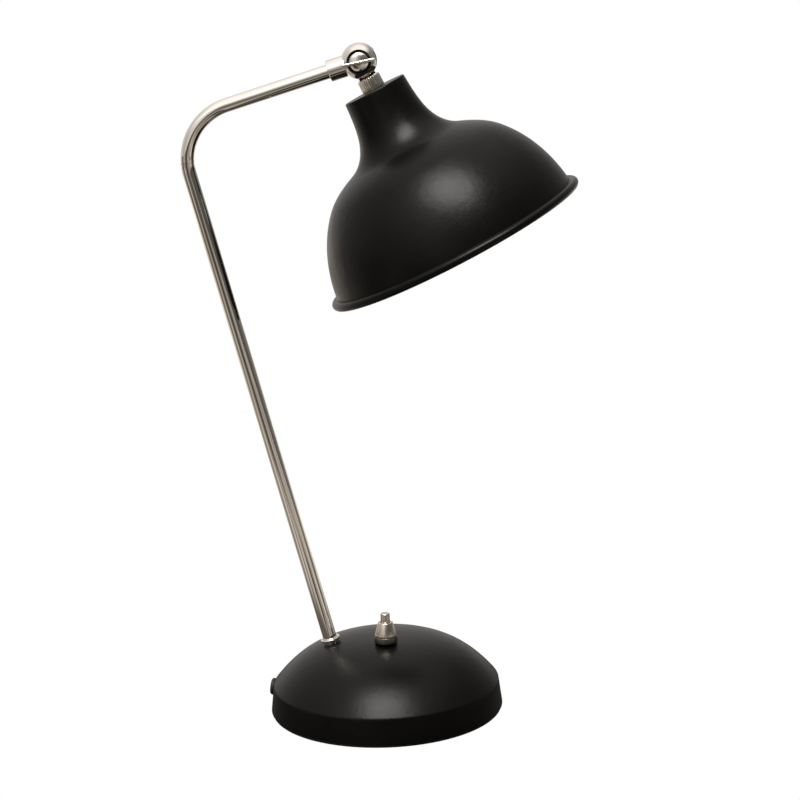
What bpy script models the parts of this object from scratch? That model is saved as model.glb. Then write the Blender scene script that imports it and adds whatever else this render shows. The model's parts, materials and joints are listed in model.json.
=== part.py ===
"""Desk lamp: a domed base, a bent tube that carries a ball knuckle, and a spun shade that tilts on it.

Units are metres and +Z is up. The origin is the centre of the base's underside. +X is the side that the
arm and the shade reach over, and -Y is the front, where the push switch and the wing screw are.
"""

import math

import bmesh
import bpy
from mathutils import Matrix, Vector

OBJECT_NAME = "swing_arm_desk_lamp"

# Base
BASE_RADIUS = 0.0850
BASE_HEIGHT = 0.0550
PAD_RADIUS = 0.0842
PAD_THICKNESS = 0.0016
COVER_FOOT = 0.0019
COVER_THICKNESS = 0.0012
CREASE_RADIUS = 0.0827
CREASE_HEIGHT = 0.0205
CREASE_ROUND = 0.0016
DOME_RISE_ANGLE = math.radians(51.0)
DOME_RISE_HANDLE = 0.0303
DOME_TOP_HANDLE = 0.0440
PLATE_RADIUS = 0.0815
PLATE_BOTTOM = 0.0020
PLATE_TOP = 0.0035
WEIGHT_RADIUS = 0.0720
WEIGHT_BOTTOM = 0.0038
WEIGHT_TOP = 0.0170
BAY_FROM_X = -0.0900
BAY_TO_X = -0.0180
BAY_HALF_WIDTH = 0.0260
PLATE_SCREW_CIRCLE = 0.0560
PLATE_SCREW_START = math.radians(25.0)
PLATE_SCREWS = 3

# Post: a straight leaning tube, one bend, and a straight arm
TUBE_RADIUS = 0.0050
TUBE_WALL = 0.0012
POST_LEAN = math.radians(13.8)
ARM_RISE = math.radians(16.1)
CORNER_X = -0.1332
CORNER_Z = 0.4334
BEND_RADIUS = 0.0400
BEND_STEPS = 12
ARM_LENGTH = 0.1366
TUBE_TO_BALL = 0.0132
FOOT_Z = 0.0511
TUBE_BELOW_DOME = 0.0150
COLLAR_RADIUS = 0.0072
COLLAR_THICKNESS = 0.0022

# Switch, on a vertical axis
SWITCH_X = 0.0018
SWITCH_Y = -0.0160
BUTTON_RADIUS = 0.00335
BUTTON_TRAVEL = 0.0030
SWITCH_RING_BOTTOM = 0.0553
SWITCH_RING_TOP = 0.0598
CONE_TOP = 0.0702
BUTTON_TOP = 0.0768
BUSHING_TOP = 0.0630
SPRING_BOTTOM = 0.0353
SPRING_TOP = 0.0497
SPRING_TURNS = 5

# Cord gland, in the base's band at the rear left
GLAND_TURN = math.radians(6.0)
GLAND_Z = 0.0140
GLAND_BORE = 0.0036

# Knuckle
BALL_RADIUS = 0.0129
SLEEVE_RADIUS = 0.0076
SLEEVE_END = 0.0226
SLOT_HALF = 0.0050
SLOT_RADIUS = 0.0110
SLOT_MARGIN = math.radians(3.0)
TONGUE_HALF = 0.0036
TONGUE_RADIUS = 0.0103
STEM_HALF = 0.0060
SEAT_RADIUS = 0.0086
SEAT_DEPTH = 0.0076
HUB_RADIUS = 0.0074
WING_LENGTH = 0.0230
WING_RISE = math.radians(10.0)
NECK_RADIUS = 0.0083
NECK_TOP = 0.0133
SHADE_TOP = 0.0217
SPIGOT_RADIUS = 0.0049
SPIGOT_END = 0.0350

# Shade: distances are measured along its axis from its flat top
SHADE_TILT = math.radians(25.7)
TILT_DOWN = math.radians(22.0)
TILT_UP = math.radians(65.0)
SHADE_THICKNESS = 0.0010
SHADE_HOLE = 0.0053
RIM_DEPTH = 0.1209
BEAD_CENTRE = 0.0939
BEAD_RADIUS = 0.0031

# Lampholder and bulb: distances are measured along the shade's axis from the ball's centre
HOLDER_TOP = 0.0300
BULB_RADIUS = 0.0225
BULB_CENTRE = 0.1120

GAP = 0.0003
ROUND_STEPS = 24
SHADE_STEPS = 32
SMALL_STEPS = 12
DOME_STEPS = 9
WALL_STEPS = 4
BEAD_STEPS = 9
SHARP_ANGLE = math.radians(35.0)
MERGE = 1e-5


def clear_scene():
    for obj in list(bpy.data.objects):
        bpy.data.objects.remove(obj, do_unlink=True)


def make_collection(name):
    collection = bpy.data.collections.new(name)
    bpy.context.scene.collection.children.link(collection)
    return collection


clear_scene()
PARTS = make_collection(OBJECT_NAME)
CUTTERS = make_collection("cutters")


def make_material(name, colour, roughness, metallic=0.0):
    material = bpy.data.materials.new(name)
    material.use_nodes = True
    shader = material.node_tree.nodes["Principled BSDF"]
    shader.inputs["Base Color"].default_value = (*colour, 1.0)
    shader.inputs["Roughness"].default_value = roughness
    shader.inputs["Metallic"].default_value = metallic
    return material


BLACK_PAINT = make_material("black_paint", (0.02, 0.019, 0.018), 0.45)
NICKEL = make_material("polished_nickel", (0.78, 0.75, 0.70), 0.12, 1.0)
BRUSHED_NICKEL = make_material("brushed_nickel", (0.60, 0.57, 0.53), 0.35, 1.0)
DARK_NICKEL = make_material("dark_nickel", (0.16, 0.15, 0.14), 0.40, 1.0)
RUBBER = make_material("black_rubber", (0.012, 0.012, 0.012), 0.8)
ZINC_STEEL = make_material("zinc_steel", (0.55, 0.55, 0.56), 0.4, 1.0)
CAST_IRON = make_material("cast_iron", (0.10, 0.10, 0.10), 0.8, 0.6)
BRASS = make_material("brass", (0.72, 0.55, 0.25), 0.3, 1.0)
WHITE_PLASTIC = make_material("white_plastic", (0.80, 0.79, 0.76), 0.4)
BLACK_PLASTIC = make_material("black_plastic", (0.02, 0.02, 0.02), 0.5)
FIBRE = make_material("black_fibre", (0.03, 0.03, 0.03), 0.9)
LEAD_SHEATH = make_material("lead_sheath", (0.05, 0.05, 0.05), 0.6)
OPAL_GLASS = make_material("opal_glass", (0.92, 0.91, 0.88), 0.2)
CAP_METAL = make_material("cap_metal", (0.75, 0.75, 0.74), 0.3, 1.0)


def make_empty(name, location, rotation=(0.0, 0.0, 0.0)):
    empty = bpy.data.objects.new(name, None)
    empty.location = location
    empty.rotation_euler = rotation
    PARTS.objects.link(empty)
    return empty


def place(obj, parent, location=(0.0, 0.0, 0.0), rotation=(0.0, 0.0, 0.0)):
    obj.parent = parent
    obj.location = location
    obj.rotation_euler = rotation
    return obj


def finish_mesh(mesh, material):
    mesh.materials.clear()
    mesh.materials.append(material)
    mesh.shade_smooth()
    mesh.set_sharp_from_angle(angle=SHARP_ANGLE)


def new_part(name, mesh, material):
    finish_mesh(mesh, material)
    obj = bpy.data.objects.new(name, mesh)
    PARTS.objects.link(obj)
    return obj


def hide_cutter(obj):
    """Keeps a solid out of the render, as a guide for a Boolean."""
    for collection in list(obj.users_collection):
        collection.objects.unlink(obj)
    CUTTERS.objects.link(obj)
    obj.hide_render = True
    obj.display_type = "WIRE"
    return obj


def applied_mesh(obj):
    """Returns the object's evaluated mesh as a new mesh, with coincident points welded."""
    bpy.context.view_layer.update()
    depsgraph = bpy.context.evaluated_depsgraph_get()
    mesh = bpy.data.meshes.new_from_object(obj.evaluated_get(depsgraph))
    work = bmesh.new()
    work.from_mesh(mesh)
    bmesh.ops.remove_doubles(work, verts=work.verts, dist=MERGE)
    work.to_mesh(mesh)
    work.free()
    return mesh


def turned_mesh(name, outline, closed=False, steps=ROUND_STEPS):
    """Turns an outline of (radius, z) points about Z; it runs down the outer side, top to bottom."""
    points = [(radius, 0.0, z) for radius, z in outline]
    edges = [(i, i + 1) for i in range(len(points) - 1)]
    if closed:
        edges.append((len(points) - 1, 0))
    profile = bpy.data.meshes.new(name + "_profile")
    profile.from_pydata(points, edges, [])
    obj = bpy.data.objects.new(name + "_profile", profile)
    PARTS.objects.link(obj)
    screw = obj.modifiers.new("Turn", "SCREW")
    screw.axis = "Z"
    screw.angle = 2.0 * math.pi
    screw.steps = steps
    screw.render_steps = steps
    screw.use_merge_vertices = True
    screw.merge_threshold = MERGE
    mesh = applied_mesh(obj)
    bpy.data.objects.remove(obj)
    mesh.name = name
    return mesh


def turned(name, outline, material, parent=None, closed=False, steps=ROUND_STEPS):
    mesh = turned_mesh(name, outline, closed, steps)
    return place(new_part(name, mesh, material), parent)


def cylinder_outline(radius, bottom, top):
    return [(0.0, top), (radius, top), (radius, bottom), (0.0, bottom)]


def ring_outline(inner, outer, bottom, top):
    return [(outer, top), (outer, bottom), (inner, bottom), (inner, top)]


def turned_cutter(name, outline, parent, rotation=(0.0, 0.0, 0.0), location=(0.0, 0.0, 0.0), steps=24):
    obj = bpy.data.objects.new(name, turned_mesh(name, outline, steps=steps))
    PARTS.objects.link(obj)
    place(obj, parent, location, rotation)
    return hide_cutter(obj)


def box_mesh(name, low, high):
    work = bmesh.new()
    bmesh.ops.create_cube(work, size=1.0)
    size = Vector(high) - Vector(low)
    centre = (Vector(high) + Vector(low)) / 2.0
    bmesh.ops.scale(work, vec=size, verts=work.verts)
    bmesh.ops.translate(work, vec=centre, verts=work.verts)
    mesh = bpy.data.meshes.new(name)
    work.to_mesh(mesh)
    work.free()
    return mesh


def box(name, low, high, material, parent=None, bevel=0.0, segments=2):
    obj = place(new_part(name, box_mesh(name, low, high), material), parent)
    if bevel:
        modifier = obj.modifiers.new("Rounded edges", "BEVEL")
        modifier.width = bevel
        modifier.segments = segments
    return obj


def box_cutter(name, low, high, parent, rotation=(0.0, 0.0, 0.0)):
    obj = bpy.data.objects.new(name, box_mesh(name, low, high))
    PARTS.objects.link(obj)
    place(obj, parent, rotation=rotation)
    return hide_cutter(obj)


def outline_mesh(name, points, half_thickness):
    """Extrudes a flat outline in XY to both sides of its plane."""
    curve = bpy.data.curves.new(name, "CURVE")
    curve.dimensions = "2D"
    curve.fill_mode = "BOTH"
    curve.extrude = half_thickness
    spline = curve.splines.new("POLY")
    spline.points.add(len(points) - 1)
    for point, (x, y) in zip(spline.points, points):
        point.co = (x, y, 0.0, 1.0)
    spline.use_cyclic_u = True
    obj = bpy.data.objects.new(name, curve)
    PARTS.objects.link(obj)
    mesh = applied_mesh(obj)
    bpy.data.objects.remove(obj)
    bpy.data.curves.remove(curve)
    mesh.name = name
    return mesh


def rod_mesh(name, path, radius, resolution=2, capped=True):
    """Sweeps a round section along a path of straight stretches."""
    curve = bpy.data.curves.new(name, "CURVE")
    curve.dimensions = "3D"
    curve.bevel_depth = radius
    curve.bevel_resolution = resolution
    curve.use_fill_caps = capped
    spline = curve.splines.new("POLY")
    spline.points.add(len(path) - 1)
    for point, position in zip(spline.points, path):
        point.co = (*position, 1.0)
    obj = bpy.data.objects.new(name, curve)
    PARTS.objects.link(obj)
    mesh = applied_mesh(obj)
    bpy.data.objects.remove(obj)
    bpy.data.curves.remove(curve)
    mesh.name = name
    return mesh


def boolean(obj, cutter, operation="DIFFERENCE"):
    modifier = obj.modifiers.new(cutter.name, "BOOLEAN")
    modifier.operation = operation
    modifier.solver = "EXACT"
    modifier.object = cutter


def regular_polygon(across_flats, sides):
    radius = across_flats / 2.0 / math.cos(math.pi / sides)
    return [
        (radius * math.cos(2.0 * math.pi * i / sides), radius * math.sin(2.0 * math.pi * i / sides))
        for i in range(sides)
    ]


def nut(name, across_flats, bore, bottom, top, material, parent, sides=6):
    """A nut on its parent's Z axis."""
    half = (top - bottom) / 2.0
    mesh = outline_mesh(name, regular_polygon(across_flats, sides), half)
    obj = place(new_part(name, mesh, material), parent, (0.0, 0.0, bottom + half))
    margin = 0.002
    cutter = turned_cutter(name + "_bore", cylinder_outline(bore, bottom - margin, top + margin), parent)
    boolean(obj, cutter)
    return obj


def screw_outline(head_radius, shank_radius, head_bottom, head_top, shank_end):
    """A pan-head screw that points up its parent's Z axis; the head is at the bottom."""
    return [
        (0.0, shank_end),
        (shank_radius, shank_end),
        (shank_radius, head_top),
        (head_radius, head_top),
        (head_radius, head_bottom),
        (0.0, head_bottom),
    ]


def cap_screw_outline(head_radius, shank_radius, head_bottom, head_top, shank_end):
    """The same screw turned over: its head is at the top and its shank points down."""
    return [
        (0.0, head_top),
        (head_radius, head_top),
        (head_radius, head_bottom),
        (shank_radius, head_bottom),
        (shank_radius, shank_end),
        (0.0, shank_end),
    ]


def bezier(start, start_handle, end_handle, end, steps):
    """Points along a cubic curve, from its start to its end."""
    points = []
    for i in range(steps + 1):
        t = i / steps
        weights = ((1 - t) ** 3, 3 * (1 - t) ** 2 * t, 3 * (1 - t) * t**2, t**3)
        corners = (start, start_handle, end_handle, end)
        points.append(
            tuple(sum(w * c[axis] for w, c in zip(weights, corners)) for axis in range(2))
        )
    return points


def offset_outline(points, thickness):
    """Moves an outline that runs down an outer side inwards by the wall's thickness."""
    moved = []
    for i, (radius, z) in enumerate(points):
        before = points[max(i - 1, 0)]
        after = points[min(i + 1, len(points) - 1)]
        along = Vector((after[0] - before[0], after[1] - before[1])).normalized()
        moved.append((max(radius + thickness * along.y, 0.0), z - thickness * along.x))
    return moved


# ---------------------------------------------------------------- base


def dome_outline():
    """The cover's outer side, from the top of the dome to its foot."""
    apex = (0.0, BASE_HEIGHT)
    crease = (CREASE_RADIUS, CREASE_HEIGHT)
    top_handle = (DOME_TOP_HANDLE, BASE_HEIGHT)
    side_handle = (
        CREASE_RADIUS - DOME_RISE_HANDLE * math.cos(DOME_RISE_ANGLE),
        CREASE_HEIGHT + DOME_RISE_HANDLE * math.sin(DOME_RISE_ANGLE),
    )
    dome = bezier(apex, top_handle, side_handle, crease, DOME_STEPS)
    foot = (BASE_RADIUS, COVER_FOOT)
    down = Vector((foot[0] - crease[0], foot[1] - crease[1])).normalized()
    before = (
        crease[0] - CREASE_ROUND * math.cos(DOME_RISE_ANGLE),
        crease[1] + CREASE_ROUND * math.sin(DOME_RISE_ANGLE),
    )
    after = (crease[0] + CREASE_ROUND * down.x, crease[1] + CREASE_ROUND * down.y)
    rounded = bezier(before, crease, crease, after, 3)
    return dome[:-1] + rounded + [foot]


def make_base_cover():
    outer = dome_outline()
    inner = offset_outline(outer, COVER_THICKNESS)
    inner[0] = (0.0, BASE_HEIGHT - COVER_THICKNESS)
    inner[-1] = (BASE_RADIUS - COVER_THICKNESS, COVER_FOOT)
    cover = turned("base_cover", outer + inner[::-1], BLACK_PAINT, steps=SHADE_STEPS)
    boolean(cover, turned_cutter("post_hole", cylinder_outline(TUBE_RADIUS + GAP, -0.02, 0.02), FOOT))
    boolean(cover, turned_cutter("switch_hole", cylinder_outline(0.0044, 0.04, 0.07), SWITCH))
    boolean(cover, turned_cutter("gland_hole", cylinder_outline(0.0049, -0.01, 0.01), GLAND))
    return cover


def plate_screw_places():
    for i in range(PLATE_SCREWS):
        angle = PLATE_SCREW_START + 2.0 * math.pi * i / PLATE_SCREWS
        yield i + 1, (PLATE_SCREW_CIRCLE * math.cos(angle), PLATE_SCREW_CIRCLE * math.sin(angle), 0.0)


def make_foot():
    """The pad, the plate, the ballast and the screws that hold the plate to the ballast."""
    turned("foot_pad", cylinder_outline(PAD_RADIUS, 0.0, PAD_THICKNESS), RUBBER, steps=SHADE_STEPS)
    plate = turned(
        "base_plate", cylinder_outline(PLATE_RADIUS, PLATE_BOTTOM, PLATE_TOP), ZINC_STEEL, steps=SHADE_STEPS
    )
    weight = turned(
        "base_weight", cylinder_outline(WEIGHT_RADIUS, WEIGHT_BOTTOM, WEIGHT_TOP), CAST_IRON
    )
    bay = box_cutter(
        "cable_bay", (BAY_FROM_X, -BAY_HALF_WIDTH, 0.0), (BAY_TO_X, BAY_HALF_WIDTH, 0.03), None
    )
    boolean(weight, bay)
    head_radius = 0.0038
    shank_radius = 0.0019
    shank_end = 0.0120
    for number, (x, y, _) in plate_screw_places():
        name = f"plate_screw_{number}"
        outline = screw_outline(head_radius, shank_radius, PLATE_BOTTOM, PLATE_TOP - GAP, shank_end)
        screw = turned(name, outline, ZINC_STEEL, steps=SMALL_STEPS)
        screw.location = (x, y, 0.0)
        wide = cylinder_outline(head_radius + GAP, 0.0, PLATE_TOP + GAP)
        narrow = cylinder_outline(shank_radius + GAP, 0.0, shank_end + GAP)
        boolean(plate, turned_cutter(name + "_seat", wide, None, location=(x, y, 0.0), steps=SMALL_STEPS))
        boolean(weight, turned_cutter(name + "_hole", narrow, None, location=(x, y, 0.0), steps=SMALL_STEPS))


def make_gland():
    """A rubber grommet: a rounded flange outside the band, a neck through it and a lip inside."""
    outline = [
        (0.0052, 0.0029),
        (0.0060, 0.0023),
        (0.0063, 0.0011),
        (0.0061, GAP),
        (0.0046, GAP),
        (0.0046, -0.0019),
        (0.0059, -0.0021),
        (0.0057, -0.0036),
        (GLAND_BORE, -0.0036),
        (GLAND_BORE, 0.0029),
    ]
    turned("cord_gland", outline, RUBBER, GLAND, closed=True, steps=24)


def make_cable_bay():
    """The cord grip, the terminal block and the earth terminal, which stand on the base plate."""
    floor = PLATE_TOP + GAP
    clamp_x = -0.0620
    clamp_y = 0.0065
    clamp = box(
        "cord_clamp",
        (clamp_x - 0.0050, clamp_y - 0.0120, floor),
        (clamp_x + 0.0050, clamp_y + 0.0120, floor + 0.0100),
        BLACK_PLASTIC,
        bevel=0.0008,
    )
    groove = turned_cutter(
        "cord_clamp_groove",
        cylinder_outline(0.0036, -0.02, 0.02),
        None,
        rotation=(0.0, math.pi / 2.0, 0.0),
        location=(clamp_x, clamp_y, floor + 0.0045),
    )
    boolean(clamp, groove)
    for number, side in ((1, -1), (2, 1)):
        name = f"cord_clamp_screw_{number}"
        place_xy = (clamp_x, clamp_y + side * 0.0085, 0.0)
        outline = cap_screw_outline(0.0028, 0.0014, floor + 0.0103, floor + 0.0123, floor + GAP)
        turned(name, outline, ZINC_STEEL, steps=SMALL_STEPS).location = place_xy
        hole = cylinder_outline(0.0014 + GAP, floor - 0.002, floor + 0.02)
        boolean(clamp, turned_cutter(name + "_hole", hole, None, location=place_xy, steps=SMALL_STEPS))
    box(
        "terminal_block",
        (-0.0450, -0.0020, floor),
        (-0.0250, 0.0160, floor + 0.0110),
        WHITE_PLASTIC,
        bevel=0.0010,
    )
    earth_place = (-0.0360, -0.0150, 0.0)
    turned(
        "earth_tag", ring_outline(0.0024, 0.0050, floor, floor + 0.0010), BRASS, closed=True, steps=SMALL_STEPS
    ).location = earth_place
    outline = cap_screw_outline(0.0040, 0.0020, floor + 0.0013, floor + 0.0036, floor + GAP)
    turned("earth_screw", outline, BRASS, steps=SMALL_STEPS).location = earth_place


# ---------------------------------------------------------------- post


def in_plane(angle):
    """The direction at an angle above +X in the lamp's own vertical plane."""
    return Vector((math.cos(angle), 0.0, math.sin(angle)))


CORNER = Vector((CORNER_X, 0.0, CORNER_Z))
UP_POST = in_plane(math.pi / 2.0 + POST_LEAN)
ALONG_ARM = in_plane(ARM_RISE)
BALL_CENTRE = CORNER + ARM_LENGTH * ALONG_ARM
FOOT_POINT = CORNER - UP_POST * ((CORNER_Z - FOOT_Z) / UP_POST.z)


def post_path(start_below, end_before_ball):
    """The tube's centre line, from under the dome to just before the ball."""
    turn = UP_POST.angle(ALONG_ARM)
    cut_back = BEND_RADIUS * math.tan(turn / 2.0)
    bend_start = CORNER - UP_POST * cut_back
    inward = UP_POST.cross(Vector((0.0, 1.0, 0.0))).normalized()
    if inward.dot(ALONG_ARM) < 0.0:
        inward.negate()
    centre = bend_start + inward * BEND_RADIUS
    path = [FOOT_POINT - UP_POST * start_below]
    for i in range(BEND_STEPS + 1):
        angle = turn * i / BEND_STEPS
        path.append(centre + BEND_RADIUS * (UP_POST * math.sin(angle) - inward * math.cos(angle)))
    path.append(BALL_CENTRE - ALONG_ARM * end_before_ball)
    return path


def make_post():
    tube_mesh = rod_mesh("post_tube", post_path(TUBE_BELOW_DOME, TUBE_TO_BALL), TUBE_RADIUS, 4, capped=False)
    tube = new_part("post_tube", tube_mesh, NICKEL)
    wall = tube.modifiers.new("Wall", "SOLIDIFY")
    wall.thickness = TUBE_WALL
    wall.offset = -1.0
    lead_path = post_path(TUBE_BELOW_DOME + 0.0030, TUBE_TO_BALL - 0.0010)
    new_part("post_lead", rod_mesh("post_lead", lead_path, 0.0020), LEAD_SHEATH)

    bottom = 0.0010
    top = bottom + COLLAR_THICKNESS
    collar = [
        (COLLAR_RADIUS - 0.0008, top),
        (COLLAR_RADIUS, top - 0.0008),
        (COLLAR_RADIUS, bottom + 0.0005),
        (COLLAR_RADIUS - 0.0005, bottom),
        (TUBE_RADIUS + GAP, bottom),
        (TUBE_RADIUS + GAP, top),
    ]
    turned("post_collar", collar, NICKEL, FOOT, closed=True)
    washer = ring_outline(TUBE_RADIUS + GAP, 0.0090, -0.0045, -0.0030)
    turned("post_washer", washer, ZINC_STEEL, FOOT, closed=True, steps=24)
    nut("post_nut", 0.0150, TUBE_RADIUS + GAP, -0.0105, -0.0048, ZINC_STEEL, FOOT)


# ---------------------------------------------------------------- switch


def make_switch():
    body = [
        (0.0, SPRING_BOTTOM - GAP),
        (0.0028, SPRING_BOTTOM - GAP),
        (0.0028, BUSHING_TOP),
        (0.0040, BUSHING_TOP),
        (0.0040, 0.0485),
        (0.0078, 0.0485),
        (0.0085, 0.0478),
        (0.0085, 0.0300),
        (0.0, 0.0300),
    ]
    turned("switch_body", body, BLACK_PLASTIC, SWITCH, steps=24)
    nut("switch_nut", 0.0110, 0.0040 + GAP, 0.0488, 0.0514, ZINC_STEEL, SWITCH)

    ring = ring_outline(0.0040 + GAP, 0.0084, SWITCH_RING_BOTTOM, SWITCH_RING_TOP)
    turned("switch_base_ring", ring, DARK_NICKEL, SWITCH, closed=True)
    cone_bottom = SWITCH_RING_TOP + GAP
    cone = [
        (0.0050, CONE_TOP),
        (0.0053, CONE_TOP - 0.0004),
        (0.0081, cone_bottom + 0.0010),
        (0.0081, cone_bottom),
        (0.0040 + GAP, cone_bottom),
        (0.0040 + GAP, 0.0665),
        (BUTTON_RADIUS + GAP, 0.0665),
        (BUTTON_RADIUS + GAP, CONE_TOP),
    ]
    turned("switch_cone", cone, BRUSHED_NICKEL, SWITCH, closed=True)

    cap_bottom = BUSHING_TOP + BUTTON_TRAVEL + 0.0008
    stem_radius = 0.0022
    button = [
        (0.0, BUTTON_TOP),
        (BUTTON_RADIUS - 0.0006, BUTTON_TOP),
        (BUTTON_RADIUS, BUTTON_TOP - 0.0006),
        (BUTTON_RADIUS, cap_bottom),
        (stem_radius, cap_bottom),
        (stem_radius, SPRING_TOP + GAP),
        (0.0, SPRING_TOP + GAP),
    ]
    turned("switch_button", button, BRUSHED_NICKEL, SWITCH, steps=20)

    wire = 0.00025
    coil_radius = 0.0019
    points_per_turn = 8
    total = SPRING_TURNS * points_per_turn
    rise = SPRING_TOP - SPRING_BOTTOM - 2.0 * wire
    coil = []
    for i in range(total + 1):
        angle = 2.0 * math.pi * i / points_per_turn
        height = SPRING_BOTTOM + wire + rise * i / total
        coil.append((coil_radius * math.cos(angle), coil_radius * math.sin(angle), height))
    spring = new_part("switch_spring", rod_mesh("switch_spring", coil, wire, 1), ZINC_STEEL)
    place(spring, SWITCH)

    route = bezier_3d(
        Vector((SWITCH_X - 0.0050, SWITCH_Y, 0.0290)),
        Vector((SWITCH_X - 0.0050, SWITCH_Y, 0.0215)),
        Vector((-0.0300, 0.0040, 0.0270)),
        Vector((-0.0300, 0.0060, 0.0152)),
        10,
    )
    new_part("switch_lead", rod_mesh("switch_lead", route, 0.0013), LEAD_SHEATH)


def bezier_3d(start, start_handle, end_handle, end, steps):
    points = []
    for i in range(steps + 1):
        t = i / steps
        points.append(
            start * (1 - t) ** 3
            + start_handle * 3 * (1 - t) ** 2 * t
            + end_handle * 3 * (1 - t) * t**2
            + end * t**3
        )
    return points


# ---------------------------------------------------------------- knuckle


def sector(start, end, radius, steps):
    points = [(0.0, 0.0)]
    for i in range(steps + 1):
        angle = start + (end - start) * i / steps
        points.append((radius * math.cos(angle), radius * math.sin(angle)))
    return points


ACROSS = (math.pi / 2.0, 0.0, 0.0)
ALONG_X = (0.0, math.pi / 2.0, 0.0)


def make_knuckle():
    work = bmesh.new()
    bmesh.ops.create_uvsphere(work, u_segments=28, v_segments=16, radius=BALL_RADIUS)
    bmesh.ops.rotate(work, verts=work.verts, matrix=Matrix.Rotation(math.pi / 2.0, 3, "X"))
    mesh = bpy.data.meshes.new("knuckle_ball")
    work.to_mesh(mesh)
    work.free()
    ball = place(new_part("knuckle_ball", mesh, NICKEL), KNUCKLE)

    sleeve = [
        (0.0, -0.0070),
        (SLEEVE_RADIUS, -0.0070),
        (SLEEVE_RADIUS, -SLEEVE_END + 0.0004),
        (SLEEVE_RADIUS - 0.0004, -SLEEVE_END),
        (0.0, -SLEEVE_END),
    ]
    boolean(ball, turned_cutter("knuckle_sleeve", sleeve, KNUCKLE, ALONG_X), "UNION")
    tube_bore = cylinder_outline(TUBE_RADIUS + GAP, -0.0300, -TUBE_TO_BALL + GAP)
    boolean(ball, turned_cutter("knuckle_tube_bore", tube_bore, KNUCKLE, ALONG_X))
    lead_bore = cylinder_outline(0.0030, -0.0150, -0.0050)
    boolean(ball, turned_cutter("knuckle_lead_bore", lead_bore, KNUCKLE, ALONG_X, steps=SMALL_STEPS))
    pocket = cylinder_outline(SLOT_RADIUS, -SLOT_HALF, SLOT_HALF)
    boolean(ball, turned_cutter("knuckle_pocket", pocket, KNUCKLE, ACROSS))

    stem_swing = math.asin(STEM_HALF / SLOT_RADIUS) + SLOT_MARGIN
    local = math.pi / 2.0 + ARM_RISE
    start = SHADE_TILT - TILT_DOWN - stem_swing - local
    end = SHADE_TILT + TILT_UP + stem_swing - local
    wedge_mesh = outline_mesh("knuckle_slot", sector(start, end, 0.0200, 10), SLOT_HALF)
    wedge = bpy.data.objects.new("knuckle_slot", wedge_mesh)
    PARTS.objects.link(wedge)
    boolean(ball, hide_cutter(place(wedge, KNUCKLE, rotation=ACROSS)))

    seat = cylinder_outline(SEAT_RADIUS, SEAT_DEPTH, 0.0150)
    boolean(ball, turned_cutter("knuckle_seat", seat, KNUCKLE, ACROSS))
    screw_hole = cylinder_outline(0.0024, -0.0150, 0.0100)
    boolean(ball, turned_cutter("knuckle_screw_hole", screw_hole, KNUCKLE, ACROSS, steps=SMALL_STEPS))

    grub_x = -0.0178
    grub_outline = cylinder_outline(0.0015, -0.0074, -TUBE_RADIUS - GAP)
    grub = turned("grub_screw", grub_outline, ZINC_STEEL, KNUCKLE, steps=SMALL_STEPS)
    grub.location = (grub_x, 0.0, 0.0)
    hole = cylinder_outline(0.0018, -0.0100, -0.0040)
    boolean(ball, turned_cutter("grub_hole", hole, KNUCKLE, location=(grub_x, 0.0, 0.0), steps=SMALL_STEPS))

    washer_inner = TONGUE_HALF + GAP
    washer_outer = SLOT_HALF - GAP
    for name, side in (("friction_washer_front", 1), ("friction_washer_rear", -1)):
        low, high = sorted((side * washer_inner, side * washer_outer))
        outline = ring_outline(0.0025, 0.0088, low, high)
        washer = turned(name, outline, FIBRE, KNUCKLE, closed=True, steps=24)
        washer.rotation_euler = ACROSS


def make_thumb_screw():
    """The wing screw: its turned body lies on the tilt axis, and its wing stands out to the front."""
    body = [
        (0.0, 0.0112),
        (0.0030, 0.0110),
        (0.0060, 0.0102),
        (HUB_RADIUS, 0.0090),
        (HUB_RADIUS, SEAT_DEPTH + GAP),
        (0.0021, SEAT_DEPTH + GAP),
        (0.0021, -0.0110),
        (0.0, -0.0110),
    ]
    screw = turned("thumb_screw", body, NICKEL, THUMB, steps=24)
    screw.rotation_euler = ACROSS
    half = WING_LENGTH / 2.0
    thickness = 0.0024
    wing = box_cutter("thumb_wing", (-half, -0.0180, -thickness / 2), (half, -0.0100, thickness / 2), THUMB)
    rounded = wing.modifiers.new("Rounded edges", "BEVEL")
    rounded.width = 0.0009
    rounded.segments = 2
    boolean(screw, wing, "UNION")


# ---------------------------------------------------------------- head


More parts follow.
